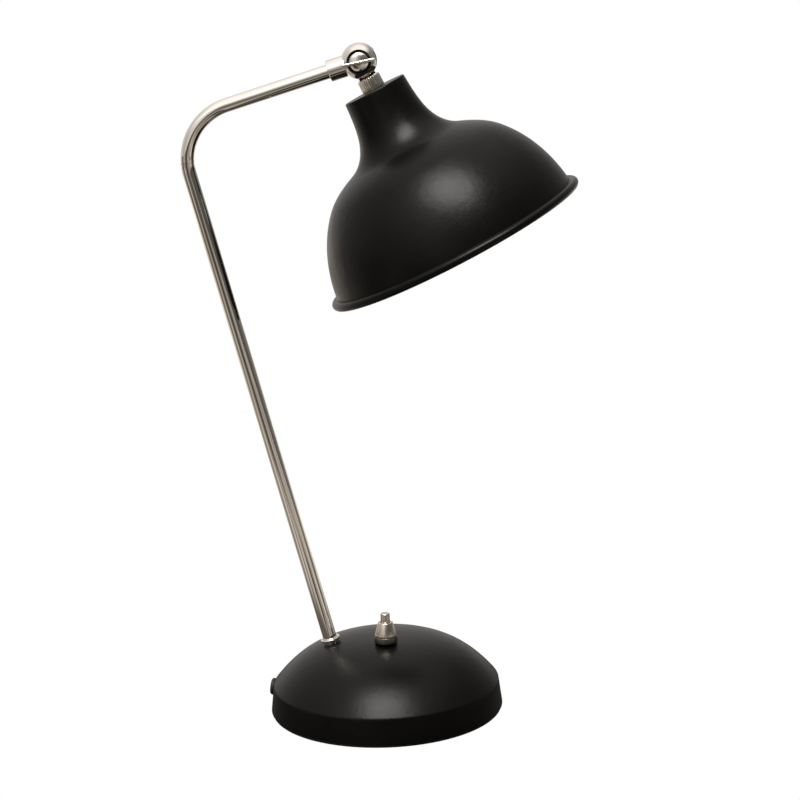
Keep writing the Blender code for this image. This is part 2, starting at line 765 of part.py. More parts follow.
def make_neck():
    """The knuckle's tongue, the neck below it and the threaded spigot that holds the shade."""
    tongue_outline = cylinder_outline(TONGUE_RADIUS, -TONGUE_HALF, TONGUE_HALF)
    mesh = turned_mesh("head_neck", tongue_outline, steps=28)
    mesh.transform(Matrix.Rotation(math.pi / 2.0, 4, "X"))
    neck = place(new_part("head_neck", mesh, BRUSHED_NICKEL), HEAD)
    stem_low = (-STEM_HALF, -TONGUE_HALF + GAP, -0.0160)
    stem_high = (STEM_HALF, TONGUE_HALF - GAP, -0.0020)
    stem = box_cutter("neck_stem", stem_low, stem_high, HEAD)
    boolean(neck, stem, "UNION")
    barrel = [
        (0.0, -NECK_TOP),
        (NECK_RADIUS - 0.0004, -NECK_TOP),
        (NECK_RADIUS, -NECK_TOP - 0.0004),
        (NECK_RADIUS, -SHADE_TOP + GAP),
        (SPIGOT_RADIUS, -SHADE_TOP + GAP),
        (SPIGOT_RADIUS, -SPIGOT_END),
        (0.0, -SPIGOT_END),
    ]
    boolean(neck, turned_cutter("neck_barrel", barrel, HEAD, steps=ROUND_STEPS), "UNION")
    bore = cylinder_outline(0.0026, -0.0500, -0.0110)
    boolean(neck, turned_cutter("neck_bore", bore, HEAD, steps=SMALL_STEPS))
    hole = cylinder_outline(0.0025, -0.0200, 0.0200)
    boolean(neck, turned_cutter("neck_screw_hole", hole, HEAD, ACROSS, steps=SMALL_STEPS))


# The shade's outer side at its knots: depth below the flat top, radius, and slope away from the axis
SHADE_KNOTS = (
    (0.0012, 0.0229, math.radians(4.0)),
    (0.0263, 0.0261, math.radians(15.0)),
    (0.0469, 0.0424, math.radians(68.0)),
    (0.0622, 0.0671, math.radians(43.0)),
    (0.1180, 0.0918, math.radians(7.0)),
)


def shade_wall():
    """The shade's outer side, from its top edge to where the rolled bead starts."""
    points = []
    for (s0, r0, a0), (s1, r1, a1) in zip(SHADE_KNOTS, SHADE_KNOTS[1:]):
        handle = math.hypot(s1 - s0, r1 - r0) / 3.0 / math.cos((a1 - a0) / 4.0) ** 2
        start_handle = (r0 + handle * math.sin(a0), s0 + handle * math.cos(a0))
        end_handle = (r1 - handle * math.sin(a1), s1 - handle * math.cos(a1))
        stretch = bezier((r0, s0), start_handle, end_handle, (r1, s1), WALL_STEPS)
        points += stretch if not points else stretch[1:]
    return points


def make_shade():
    wall = shade_wall()
    edge = 0.0009
    top = [(SHADE_HOLE, 0.0), (wall[0][0] - edge, 0.0)]
    outer = top + wall
    outer = [(radius, -SHADE_TOP - depth) for radius, depth in outer]
    inner = offset_outline(outer, SHADE_THICKNESS)
    inner[0] = (SHADE_HOLE, -SHADE_TOP - SHADE_THICKNESS)
    bead_start = math.radians(118.0)
    bead_turn = math.radians(332.0)
    bead = []
    for i in range(BEAD_STEPS + 1):
        angle = bead_start - bead_turn * i / BEAD_STEPS
        radius = BEAD_CENTRE + BEAD_RADIUS * math.cos(angle)
        bead.append((radius, -SHADE_TOP - RIM_DEPTH + BEAD_RADIUS * math.sin(angle)))
    turned("shade", outer + bead + inner[::-1], BLACK_PAINT, HEAD, closed=True, steps=SHADE_STEPS)
    washer_top = -SHADE_TOP - SHADE_THICKNESS - GAP
    washer = ring_outline(SPIGOT_RADIUS + GAP, 0.0110, washer_top - 0.0012, washer_top)
    turned("shade_washer", washer, ZINC_STEEL, HEAD, closed=True, steps=24)
    nut_top = washer_top - 0.0012 - GAP
    nut("shade_nut", 0.0160, SPIGOT_RADIUS + GAP, nut_top - 0.0040, nut_top, BRASS, HEAD)


def make_lampholder():
    top = -HOLDER_TOP
    cap_bottom = top - 0.0150
    cap = [
        (0.0100, top),
        (0.0135, top - 0.0030),
        (0.0140, cap_bottom),
        (0.0128, cap_bottom),
        (0.0123, top - 0.0036),
        (0.0095, top - 0.0014),
        (SPIGOT_RADIUS + GAP, top - 0.0014),
        (SPIGOT_RADIUS + GAP, top),
    ]
    turned("holder_cap", cap, BLACK_PLASTIC, HEAD, closed=True, steps=24)
    body_top = cap_bottom - GAP
    body_bottom = body_top - 0.0320
    body = [
        (0.0, body_top),
        (0.0138, body_top),
        (0.0134, body_bottom),
        (0.0086, body_bottom),
        (0.0086, body_top - 0.0070),
        (0.0, body_top - 0.0070),
    ]
    turned("holder_body", body, BLACK_PLASTIC, HEAD, steps=24)
    contact_top = body_top - 0.0073
    contact = cylinder_outline(0.0035, contact_top - 0.0012, contact_top)
    turned("holder_contact", contact, BRASS, HEAD, steps=SMALL_STEPS)
    sleeve = ring_outline(0.0074, 0.0083, body_bottom + 0.0020, contact_top - 0.0015)
    turned("holder_sleeve", sleeve, BRASS, HEAD, closed=True, steps=24)
    tip = contact_top - 0.0012 - GAP
    bulb_cap_bottom = body_bottom - 0.0030
    bulb_cap = [
        (0.0, tip),
        (0.0022, tip),
        (0.0026, tip - 0.0012),
        (0.0068, tip - 0.0030),
        (0.0070, bulb_cap_bottom),
        (0.0, bulb_cap_bottom),
    ]
    turned("bulb_cap", bulb_cap, CAP_METAL, HEAD, steps=24)
    make_bulb_glass(bulb_cap_bottom - GAP)
    lead = cylinder_outline(0.0020, body_top + GAP, -0.0120)
    turned("head_lead", lead, LEAD_SHEATH, HEAD, steps=12)


def make_bulb_glass(neck_top):
    """A golf-ball envelope, open at its neck, where the screw cap closes it."""
    neck_radius = 0.0098
    glass = 0.0009
    join = math.radians(56.0)
    steps = 7
    outer = [(neck_radius, neck_top), (neck_radius + 0.0006, neck_top - 0.0050)]
    for i in range(steps + 1):
        angle = join - (join + math.pi / 2.0) * i / steps
        outer.append((BULB_RADIUS * math.cos(angle), -BULB_CENTRE + BULB_RADIUS * math.sin(angle)))
    outer[-1] = (0.0, -BULB_CENTRE - BULB_RADIUS)
    inner = offset_outline(outer, glass)
    inner[0] = (neck_radius - glass, neck_top)
    inner[-1] = (0.0, -BULB_CENTRE - BULB_RADIUS + glass)
    turned("bulb_glass", inner[::-1] + outer, OPAL_GLASS, HEAD, steps=24)


# ---------------------------------------------------------------- assembly

FOOT = make_empty("post_foot", FOOT_POINT, (0.0, -POST_LEAN, 0.0))
SWITCH = make_empty("switch_axis", (SWITCH_X, SWITCH_Y, 0.0))
BAND_SLOPE = math.atan2(BASE_RADIUS - CREASE_RADIUS, CREASE_HEIGHT - COVER_FOOT)
BAND_RADIUS = BASE_RADIUS - (GLAND_Z - COVER_FOOT) * math.tan(BAND_SLOPE)
GLAND_PLACE = (-BAND_RADIUS * math.cos(GLAND_TURN), BAND_RADIUS * math.sin(GLAND_TURN), GLAND_Z)
GLAND = make_empty("gland_axis", GLAND_PLACE, (0.0, BAND_SLOPE - math.pi / 2.0, -GLAND_TURN))
KNUCKLE = make_empty("knuckle_pivot", BALL_CENTRE, (0.0, -ARM_RISE, 0.0))
THUMB = make_empty("thumb_pivot", BALL_CENTRE, (0.0, -WING_RISE, 0.0))
HEAD = make_empty("head_pivot", BALL_CENTRE, (0.0, -SHADE_TILT, 0.0))

make_base_cover()
make_foot()
make_gland()
make_cable_bay()
make_post()
make_switch()
make_knuckle()
make_thumb_screw()
make_neck()
make_shade()
make_lampholder()
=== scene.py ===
import json
import math

import bmesh
import bpy
from mathutils import Matrix, Vector


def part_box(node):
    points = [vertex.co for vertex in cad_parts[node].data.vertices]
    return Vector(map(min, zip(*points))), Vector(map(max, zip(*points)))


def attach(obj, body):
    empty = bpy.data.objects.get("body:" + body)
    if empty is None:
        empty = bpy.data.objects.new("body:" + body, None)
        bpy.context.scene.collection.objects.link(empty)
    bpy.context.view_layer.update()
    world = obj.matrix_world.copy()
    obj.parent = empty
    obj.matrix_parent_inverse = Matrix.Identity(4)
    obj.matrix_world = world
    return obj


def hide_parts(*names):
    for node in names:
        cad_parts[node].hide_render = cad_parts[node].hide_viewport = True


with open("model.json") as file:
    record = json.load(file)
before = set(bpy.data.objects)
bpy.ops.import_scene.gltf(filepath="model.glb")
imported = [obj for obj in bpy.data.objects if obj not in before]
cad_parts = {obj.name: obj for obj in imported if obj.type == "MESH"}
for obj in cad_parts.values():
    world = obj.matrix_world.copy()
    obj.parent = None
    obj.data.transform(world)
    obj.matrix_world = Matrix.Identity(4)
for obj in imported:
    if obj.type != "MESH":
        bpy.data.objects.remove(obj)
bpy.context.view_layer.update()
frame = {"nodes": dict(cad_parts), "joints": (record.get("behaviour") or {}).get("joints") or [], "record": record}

SCENE = bpy.context.scene
RECORD = frame["record"]
JOINTS = {joint["name"]: joint for joint in frame["joints"]}
BALL = Vector(JOINTS["head_tilt"]["pos_m"])
ARM = Vector(JOINTS["knuckle_swivel"]["axis"]).normalized()
ARM_RISE = math.asin(ARM.z)
SHADE_TILT = math.radians(25.7)
WING_RISE = math.radians(10.0)
POST_LEAN = math.radians(13.8)
GAP = 0.0003


# ---------------------------------------------------------------- camera

# The camera's angles, distance, target and lens are a fit to the lamp's outlines in the photo.
CAMERA_AZIMUTH = math.radians(2.284)
CAMERA_ELEVATION = math.radians(12.181)
CAMERA_ROLL = math.radians(-2.068)
CAMERA_DISTANCE = 1.5500
CAMERA_TARGET = Vector((0.01761, 0.0, 0.23068))
CAMERA_LENS = 97.501
CAMERA_SENSOR = 36.0


def direction(azimuth, elevation):
    """Unit vector towards an azimuth, 0 being -Y and 90 degrees being +X, and an elevation."""
    return Vector((
        math.sin(azimuth) * math.cos(elevation),
        -math.cos(azimuth) * math.cos(elevation),
        math.sin(elevation),
    ))


def make_camera():
    camera = bpy.data.objects.new("camera", bpy.data.cameras.new("camera"))
    SCENE.collection.objects.link(camera)
    back = direction(CAMERA_AZIMUTH, CAMERA_ELEVATION)
    turn = (-back).to_track_quat("-Z", "Y").to_matrix() @ Matrix.Rotation(CAMERA_ROLL, 3, "Z")
    camera.matrix_world = Matrix.Translation(CAMERA_TARGET + back * CAMERA_DISTANCE) @ turn.to_4x4()
    camera.data.lens = CAMERA_LENS
    camera.data.sensor_width = CAMERA_SENSOR
    camera.data.clip_start = 0.05
    camera.data.clip_end = 100.0
    SCENE.camera = camera


make_camera()


# ---------------------------------------------------------------- materials

class Nodes:
    """A short way to write a node tree."""

    def __init__(self, tree):
        self.tree = tree
        self.tree.nodes.clear()

    def add(self, kind, inputs=None, **settings):
        node = self.tree.nodes.new(kind)
        for key, value in settings.items():
            setattr(node, key, value)
        for key, value in (inputs or {}).items():
            if isinstance(value, bpy.types.NodeSocket):
                self.tree.links.new(value, node.inputs[key])
            else:
                node.inputs[key].default_value = value
        return node

    def math(self, operation, a, b=0.0, c=0.0, clamp=False):
        node = self.add("ShaderNodeMath", operation=operation, use_clamp=clamp)
        for socket, value in zip(node.inputs, (a, b, c)):
            if isinstance(value, bpy.types.NodeSocket):
                self.tree.links.new(value, socket)
            else:
                socket.default_value = value
        return node.outputs[0]

    def noise(self, vector, scale, detail=4.0, roughness=0.55):
        inputs = {"Vector": vector, "Scale": scale, "Detail": detail, "Roughness": roughness}
        return self.add("ShaderNodeTexNoise", inputs).outputs["Fac"]

    def ramp(self, value, stops):
        node = self.add("ShaderNodeValToRGB", {"Fac": value})
        ramp = node.color_ramp
        while len(ramp.elements) < len(stops):
            ramp.elements.new(0.5)
        for element, (position, colour) in zip(ramp.elements, stops):
            element.position = position
            element.color = (*colour, 1.0)
        return node.outputs["Color"]

    def mix(self, factor, a, b):
        node = self.add("ShaderNodeMix", data_type="RGBA")
        for socket, value in zip((node.inputs[0], node.inputs[6], node.inputs[7]), (factor, a, b)):
            if isinstance(value, bpy.types.NodeSocket):
                self.tree.links.new(value, socket)
            else:
                socket.default_value = value
        return node.outputs[2]

    def spread(self, value, low, high):
        inputs = {"Value": value, "From Min": 0.25, "From Max": 0.75, "To Min": low, "To Max": high}
        return self.add("ShaderNodeMapRange", inputs).outputs["Result"]

    def smooth(self, value, start, end, falling=False):
        """A smooth rise from 0 at start to 1 at end, or a fall from 1 to 0."""
        first, last = (1.0, 0.0) if falling else (0.0, 1.0)
        inputs = {"Value": value, "From Min": start, "From Max": end, "To Min": first, "To Max": last}
        return self.add("ShaderNodeMapRange", inputs, interpolation_type="SMOOTHSTEP").outputs["Result"]

    def times(self, a, b):
        return self.add("ShaderNodeVectorMath", {0: a, 1: b}, operation="MULTIPLY").outputs[0]


def rgba(colour):
    return (*colour, 1.0)


def new_material(name):
    material = bpy.data.materials.new(name)
    material.use_nodes = True
    nodes = Nodes(material.node_tree)
    shader = nodes.add("ShaderNodeBsdfPrincipled")
    output = nodes.add("ShaderNodeOutputMaterial")
    material.node_tree.links.new(shader.outputs["BSDF"], output.inputs["Surface"])
    place = nodes.add("ShaderNodeTexCoord").outputs["Object"]
    return material, nodes, shader, place


def join(nodes, shader, colour, roughness, height=None, strength=0.1, distance=0.0001):
    link = nodes.tree.links.new
    link(colour, shader.inputs["Base Color"])
    link(roughness, shader.inputs["Roughness"])
    if height is not None:
        inputs = {"Height": height, "Strength": strength, "Distance": distance}
        bump = nodes.add("ShaderNodeBump", inputs)
        link(bump.outputs["Normal"], shader.inputs["Normal"])


def powder_coat(name, dark, light, roughness, gloss, peel=0.10):
    """Matt powder coat: a faint orange-peel surface, with the colour and gloss drifting a little."""
    material, nodes, shader, place = new_material(name)
    drift = nodes.noise(place, 18.0, 3.0)
    grain = nodes.noise(place, 1500.0, 2.0)
    waves = nodes.noise(place, 420.0, 3.0)
    dust = nodes.math("GREATER_THAN", nodes.noise(place, 2600.0, 1.0), 0.80)
    colour = nodes.mix(nodes.spread(drift, 0.0, 1.0), rgba(dark), rgba(light))
    speck = tuple(min(1.0, c * 1.6 + 0.008) for c in light)
    colour = nodes.mix(nodes.math("MULTIPLY", dust, 0.5), colour, rgba(speck))
    rough = nodes.math("ADD", nodes.spread(drift, roughness - 0.02, roughness + 0.02),
                       nodes.spread(grain, -0.02, 0.02))
    dents = nodes.math("MULTIPLY", nodes.noise(place, 130.0, 3.0), 9.0)
    height = nodes.math("ADD", nodes.math("ADD", waves, dents), nodes.math("MULTIPLY", grain, 0.35))
    join(nodes, shader, colour, rough, height, peel, 0.0002)
    shader.inputs["Specular IOR Level"].default_value = gloss
    return material


def polished_metal(name, colour, tarnish, roughness, scratch=0.04):
    """Plated metal with hairline wiping marks and a slightly uneven shine."""
    material, nodes, shader, place = new_material(name)
    drift = nodes.noise(place, 60.0, 4.0)
    stretch = nodes.add("ShaderNodeMapping", {"Vector": place, "Scale": (1.0, 1.0, 0.06)}).outputs[0]
    hair = nodes.noise(stretch, 2400.0, 3.0, 0.7)
    tone = nodes.mix(nodes.spread(drift, 0.0, 1.0), rgba(tarnish), rgba(colour))
    rough = nodes.math("ADD", nodes.spread(drift, roughness * 0.8, roughness * 1.25),
                       nodes.spread(hair, -roughness * 0.25, roughness * 0.25))
    join(nodes, shader, tone, rough, hair, scratch, 0.00005)
    shader.inputs["Metallic"].default_value = 1.0
    return material


def turned_metal(name, colour, tarnish, roughness, lines=0.35):
    """Metal with fine tool marks that run round the piece's own Z axis."""
    material, nodes, shader, place = new_material(name)
    parts = nodes.add("ShaderNodeSeparateXYZ", {"Vector": place}).outputs
    across = nodes.math("SQRT", nodes.math("ADD", nodes.math("MULTIPLY", parts["X"], parts["X"]),
                                           nodes.math("MULTIPLY", parts["Y"], parts["Y"])))
    flat = nodes.add("ShaderNodeCombineXYZ", {"X": across, "Y": 0.0, "Z": parts["Z"]}).outputs[0]
    marks = nodes.noise(flat, 5200.0, 3.0, 0.7)
    drift = nodes.noise(place, 90.0, 4.0)
    tone = nodes.mix(nodes.spread(marks, 0.0, 1.0), rgba(tarnish), rgba(colour))
    rough = nodes.math("ADD", nodes.spread(marks, roughness - 0.06, roughness + 0.06),
                       nodes.spread(drift, -0.03, 0.03))
    join(nodes, shader, tone, rough, marks, lines, 0.00006)
    shader.inputs["Metallic"].default_value = 1.0
    return material


def plain_stuff(name, dark, light, roughness, scale, bump, metallic=0.0, distance=0.0002):
    """Moulded or cast stuff with a grain of its own size."""
    material, nodes, shader, place = new_material(name)
    grain = nodes.noise(place, scale, 4.0)
    drift = nodes.noise(place, scale * 0.07, 3.0)
    colour = nodes.mix(nodes.spread(drift, 0.0, 1.0), rgba(dark), rgba(light))
    rough = nodes.math("ADD", nodes.spread(grain, roughness - 0.05, roughness + 0.05),
                       nodes.spread(drift, -0.03, 0.03))
    join(nodes, shader, colour, rough, grain, bump, distance)
    shader.inputs["Metallic"].default_value = metallic
    return material


def opal_glass(name):
    """Milk-white bulb glass, a little uneven in thickness."""
    material, nodes, shader, place = new_material(name)
    drift = nodes.noise(place, 70.0, 3.0)
    colour = nodes.mix(nodes.spread(drift, 0.0, 1.0), (0.86, 0.85, 0.81, 1.0), (0.93, 0.92, 0.89, 1.0))
    join(nodes, shader, colour, nodes.spread(drift, 0.16, 0.24), drift, 0.03, 0.0002)
    shader.inputs["Transmission Weight"].default_value = 0.15
    shader.inputs["Subsurface Weight"].default_value = 0.3
    shader.inputs["Subsurface Radius"].default_value = (0.01, 0.01, 0.01)
    return material


PAINT = powder_coat("black_paint", (0.0013, 0.0012, 0.0010), (0.0020, 0.0019, 0.0016), 0.33, 0.155)
ENAMEL = powder_coat("shade_inside_enamel", (0.74, 0.73, 0.70), (0.80, 0.79, 0.76), 0.38, 0.5)
POLISHED = polished_metal("polished_nickel", (0.92, 0.88, 0.82), (0.86, 0.81, 0.74), 0.045)
KNURLED = polished_metal("knurled_nickel", (0.90, 0.84, 0.76), (0.78, 0.71, 0.62), 0.10)
# Near-black painted shade, laid on metal faces that sit in gaps and hollows of the knuckle and neck.
PAINTED_SHADE_BLACK = plain_stuff("painted_shade_black", (0.0030, 0.0029, 0.0028), (0.0060, 0.0058, 0.0055), 0.55, 1500.0, 0.05)
BRUSHED = turned_metal("brushed_nickel", (0.76, 0.70, 0.62), (0.60, 0.55, 0.485), 0.22)
# A darker copy of the brushed nickel, with painted shade: it stands for the black dome that the switch's nickel
# base ring reflects.
SHADED_NICKEL = turned_metal("dark_nickel", (0.23, 0.21, 0.18), (0.15, 0.135, 0.115), 0.33)
RUBBER = plain_stuff("black_rubber", (0.0060, 0.0060, 0.0060), (0.0110, 0.0105, 0.0100), 0.62, 1400.0, 0.15)
BLACK_PLASTIC = plain_stuff("black_plastic", (0.010, 0.010, 0.010), (0.016, 0.016, 0.015), 0.38, 900.0, 0.06)
WHITE_PLASTIC = plain_stuff("white_plastic", (0.74, 0.73, 0.69), (0.80, 0.79, 0.75), 0.42, 700.0, 0.06)
FIBRE = plain_stuff("black_fibre", (0.018, 0.016, 0.015), (0.035, 0.032, 0.028), 0.85, 2600.0, 0.35)
SHEATH = plain_stuff("lead_sheath", (0.030, 0.030, 0.030), (0.045, 0.044, 0.042), 0.5, 600.0, 0.05)
ZINC = plain_stuff("zinc_steel", (0.46, 0.46, 0.48), (0.62, 0.62, 0.63), 0.36, 1800.0, 0.10, 1.0)
IRON = plain_stuff("cast_iron", (0.060, 0.058, 0.056), (0.13, 0.125, 0.12), 0.78, 700.0, 0.60, 0.7)
BRASS = turned_metal("brass", (0.74, 0.56, 0.27), (0.62, 0.45, 0.20), 0.28)
CAP_METAL = turned_metal("cap_metal", (0.78, 0.78, 0.77), (0.66, 0.66, 0.65), 0.26)
OPAL = opal_glass("opal_glass")

BY_SLOT = {
    "black_paint": PAINT,
    "polished_nickel": POLISHED,
    "brushed_nickel": BRUSHED,
    "dark_nickel": SHADED_NICKEL,
    "black_rubber": RUBBER,
    "zinc_steel": ZINC,
    "cast_iron": IRON,
    "brass": BRASS,
    "white_plastic": WHITE_PLASTIC,
    "black_plastic": BLACK_PLASTIC,
    "black_fibre": FIBRE,
    "lead_sheath": SHEATH,
    "opal_glass": OPAL,
    "cap_metal": CAP_METAL,
}
for row in RECORD["subparts"]:
    cad = frame["nodes"][row["node"]]
    cad.data.materials.clear()
    cad.data.materials.append(BY_SLOT[row["material_slot"]])


# ---------------------------------------------------------------- shapes

BODY_OF = {node: body for body, members in RECORD["behaviour"]["bodies"].items() for node in members}
SLOT_OF = {row["node"]: row["material_slot"] for row in RECORD["subparts"]}


def finished(name, work):
    """Ends a bmesh and returns what it holds as a mesh."""
    mesh = bpy.data.meshes.new(name)
    work.to_mesh(mesh)
    work.free()
    return mesh


def box_mesh(name, size, centre, bevel=0.0):
    work = bmesh.new()
    bmesh.ops.create_cube(work, size=1.0)
    bmesh.ops.scale(work, vec=size, verts=work.verts)
    bmesh.ops.translate(work, vec=centre, verts=work.verts)
    bmesh.ops.recalc_face_normals(work, faces=work.faces)
    if bevel:
        bmesh.ops.bevel(work, geom=work.edges, offset=bevel, segments=5, profile=0.5, affect="EDGES")
    return finished(name, work)


def bezier(start, start_handle, end_handle, end, steps):
    points = []
    for i in range(steps + 1):
        t = i / steps
        weights = ((1 - t) ** 3, 3 * (1 - t) ** 2 * t, 3 * (1 - t) * t**2, t**3)
        corners = (start, start_handle, end_handle, end)
        points.append(tuple(sum(w * c[axis] for w, c in zip(weights, corners)) for axis in range(2)))
    return points


def rounded(points, radius, steps=4, closed=True):
    """An outline with each corner that turns sharply cut back to a small arc."""
    made = []
    count = len(points)
    for i, point in enumerate(points):
        ends = not closed and i in (0, count - 1)
        here = Vector(point)
        before = Vector(points[i - 1]) - here
        after = Vector(points[(i + 1) % count]) - here
        if ends or before.length < 1e-9 or after.length < 1e-9 or before.angle(after) > math.radians(150.0):
            made.append(point)
            continue
        cut = min(radius, before.length * 0.45, after.length * 0.45)
        a = here + before.normalized() * cut
        b = here + after.normalized() * cut
        made += bezier(a, here.lerp(a, 0.45), here.lerp(b, 0.45), b, steps)
    return made


def offset(points, thickness):
    moved = []
    for i, (radius, z) in enumerate(points):
        before = points[max(i - 1, 0)]
        after = points[min(i + 1, len(points) - 1)]
        along = Vector((after[0] - before[0], after[1] - before[1])).normalized()
        moved.append((max(radius + thickness * along.y, 0.0), z - thickness * along.x))
    return moved


def lathe_mesh(name, outline, steps, closed=False, shape=None, inside_from=None):
    """Turns an outline about Z. shape(index, angle) may scale the radius at that point of the outline, and
    faces from the point inside_from on take the second material."""
    work = bmesh.new()
    rings = []
    for index, (radius, z) in enumerate(outline):
        if radius < 1e-7:
            rings.append([work.verts.new((0.0, 0.0, z))] * steps)
            continue
        ring = []
        for i in range(steps):
            angle = 2.0 * math.pi * i / steps
            r = radius * (shape(index, angle) if shape else 1.0)
            ring.append(work.verts.new((r * math.cos(angle), r * math.sin(angle), z)))
        rings.append(ring)
    last = len(rings) if closed else len(rings) - 1
    for index in range(last):
        upper, lower = rings[index], rings[(index + 1) % len(rings)]
        for i in range(steps):
            j = (i + 1) % steps
            corners = []
            for vert in (upper[i], lower[i], lower[j], upper[j]):
                if vert not in corners:
                    corners.append(vert)
            if len(corners) > 2:
                face = work.faces.new(corners)
                face.smooth = True
                if inside_from is not None and index >= inside_from:
                    face.material_index = 1
    bmesh.ops.recalc_face_normals(work, faces=work.faces)
    return finished(name, work)


def add_piece(name, mesh, matrix, node, materials=None, sharp=32.0):
    """Links a mesh as a piece that stands for a CAD node and moves with its body."""
    for material in materials or [BY_SLOT[SLOT_OF[node]]]:
        mesh.materials.append(material)
    if sharp:
        mesh.set_sharp_from_angle(angle=math.radians(sharp))
    piece = bpy.data.objects.new(name, mesh)
    SCENE.collection.objects.link(piece)
    piece.matrix_world = matrix
    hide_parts(node)
    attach(piece, BODY_OF[node])
    return piece


def frame_at(point, turn=(0.0, 0.0, 0.0)):
    x, y, z = turn
    rotation = Matrix.Rotation(z, 4, "Z") @ Matrix.Rotation(y, 4, "Y") @ Matrix.Rotation(x, 4, "X")
    return Matrix.Translation(point) @ rotation


def middle(node):
    low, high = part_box(node)
    return (low + high) / 2.0


HEAD = frame_at(BALL, (0.0, -SHADE_TILT, 0.0))
KNUCKLE = frame_at(BALL, (0.0, -ARM_RISE, 0.0))
WING = frame_at(BALL, (0.0, -WING_RISE, 0.0))
SWITCH = frame_at((middle("switch_button").x, middle("switch_button").y, 0.0))
ACROSS = Matrix.Rotation(math.pi / 2.0, 4, "X")
ALONG_X = Matrix.Rotation(math.pi / 2.0, 4, "Y")


# ---------------------------------------------------------------- base

BASE_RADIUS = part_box("base_cover")[1].x
BASE_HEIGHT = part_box("base_cover")[1].z
COVER_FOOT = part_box("base_cover")[0].z
CREASE_RADIUS = 0.0827
CREASE_HEIGHT = 0.0205
DOME_RISE = math.radians(51.0)
DOME_TOP_HANDLE = 0.0440
DOME_SIDE_HANDLE = 0.0303
CREASE_CUT = 0.0016
COVER_WALL = 0.0012
GLAND_TURN = math.radians(6.0)
GLAND_HEIGHT = 0.0140


def dome_outline():
    crease = (CREASE_RADIUS, CREASE_HEIGHT)
    side = (
        CREASE_RADIUS - DOME_SIDE_HANDLE * math.cos(DOME_RISE),
        CREASE_HEIGHT + DOME_SIDE_HANDLE * math.sin(DOME_RISE),
    )
    dome = bezier((0.0, BASE_HEIGHT), (DOME_TOP_HANDLE, BASE_HEIGHT), side, crease, 56)
    foot = (BASE_RADIUS, COVER_FOOT)
    down = (Vector(foot) - Vector(crease)).normalized()
    before = (crease[0] - CREASE_CUT * math.cos(DOME_RISE), crease[1] + CREASE_CUT * math.sin(DOME_RISE))
    after = (crease[0] + CREASE_CUT * down.x, crease[1] + CREASE_CUT * down.y)
    kept = [point for point in dome if point[1] > before[1] + 1e-5]
    band = [(after[0] + (foot[0] - after[0]) * t / 6, after[1] + (foot[1] - after[1]) * t / 6)
            for t in range(1, 7)]
    return kept + bezier(before, crease, crease, after, 8) + band


def make_base():
    outer = dome_outline()
    inner = offset(outer, COVER_WALL)
    inner[0] = (0.0, BASE_HEIGHT - COVER_WALL)
    inner[-1] = (BASE_RADIUS - COVER_WALL, COVER_FOOT)
    mesh = lathe_mesh("base_shell", outer + inner[::-1], 192)
    add_piece("base_shell", mesh, Matrix.Identity(4), "base_cover")
    low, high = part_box("foot_pad")
    pad = [(0.0, high.z), (high.x, high.z), (high.x, low.z), (0.0, low.z)]
    pad = rounded(pad, 0.0004, 3, closed=False)
    add_piece("foot_ring", lathe_mesh("foot_ring", pad, 160), Matrix.Identity(4), "foot_pad")


def make_gland():
    slope = math.atan2(BASE_RADIUS - CREASE_RADIUS, CREASE_HEIGHT - COVER_FOOT)
    radius = BASE_RADIUS - (GLAND_HEIGHT - COVER_FOOT) * math.tan(slope)
    place = Vector((-radius * math.cos(GLAND_TURN), radius * math.sin(GLAND_TURN), GLAND_HEIGHT))
    outline = [
        (0.0052, 0.0029), (0.0060, 0.0023), (0.0063, 0.0011), (0.0061, GAP), (0.0046, GAP),
        (0.0046, -0.0019), (0.0059, -0.0021), (0.0057, -0.0036), (0.0036, -0.0036), (0.0036, 0.0029),
    ]
    mesh = lathe_mesh("gland", rounded(outline, 0.0004, 3), 64, closed=True)
    add_piece("gland", mesh, frame_at(place, (0.0, slope - math.pi / 2.0, -GLAND_TURN)), "cord_gland")


# ---------------------------------------------------------------- post

CORNER = Vector((-0.1332, 0.0, 0.4334))
TUBE_RADIUS = 0.0050
TUBE_WALL = 0.0012
TUBE_BELOW_FOOT = 0.0150
TUBE_END = 0.0132
TUBE_STEPS = 64
BEND_RADIUS = 0.0400
FOOT_Z = 0.0511
COLLAR_RADIUS = 0.0072
COLLAR_BOTTOM = 0.0010
COLLAR_TOP = COLLAR_BOTTOM + 0.0022
UP_POST = Vector((-math.sin(POST_LEAN), 0.0, math.cos(POST_LEAN)))
FOOT_POINT = CORNER - UP_POST * ((CORNER.z - FOOT_Z) / UP_POST.z)


def post_path():
    """Points and directions along the tube's centre line."""
    turn = UP_POST.angle(ARM)
    cut_back = BEND_RADIUS * math.tan(turn / 2.0)
    start = CORNER - UP_POST * cut_back
    inward = (ARM - UP_POST * ARM.dot(UP_POST)).normalized()
    centre = start + inward * BEND_RADIUS
    low = FOOT_POINT - UP_POST * TUBE_BELOW_FOOT
    path = [(low.lerp(start, i / 24), UP_POST) for i in range(24)]
    for i in range(49):
        angle = turn * i / 48
        along = UP_POST * math.cos(angle) + inward * math.sin(angle)
        place = centre + BEND_RADIUS * (UP_POST * math.sin(angle) - inward * math.cos(angle))
        path.append((place, along))
    end = BALL - ARM * TUBE_END
    begin = path[-1][0]
    path += [(begin.lerp(end, i / 10), ARM) for i in range(1, 11)]
    return path


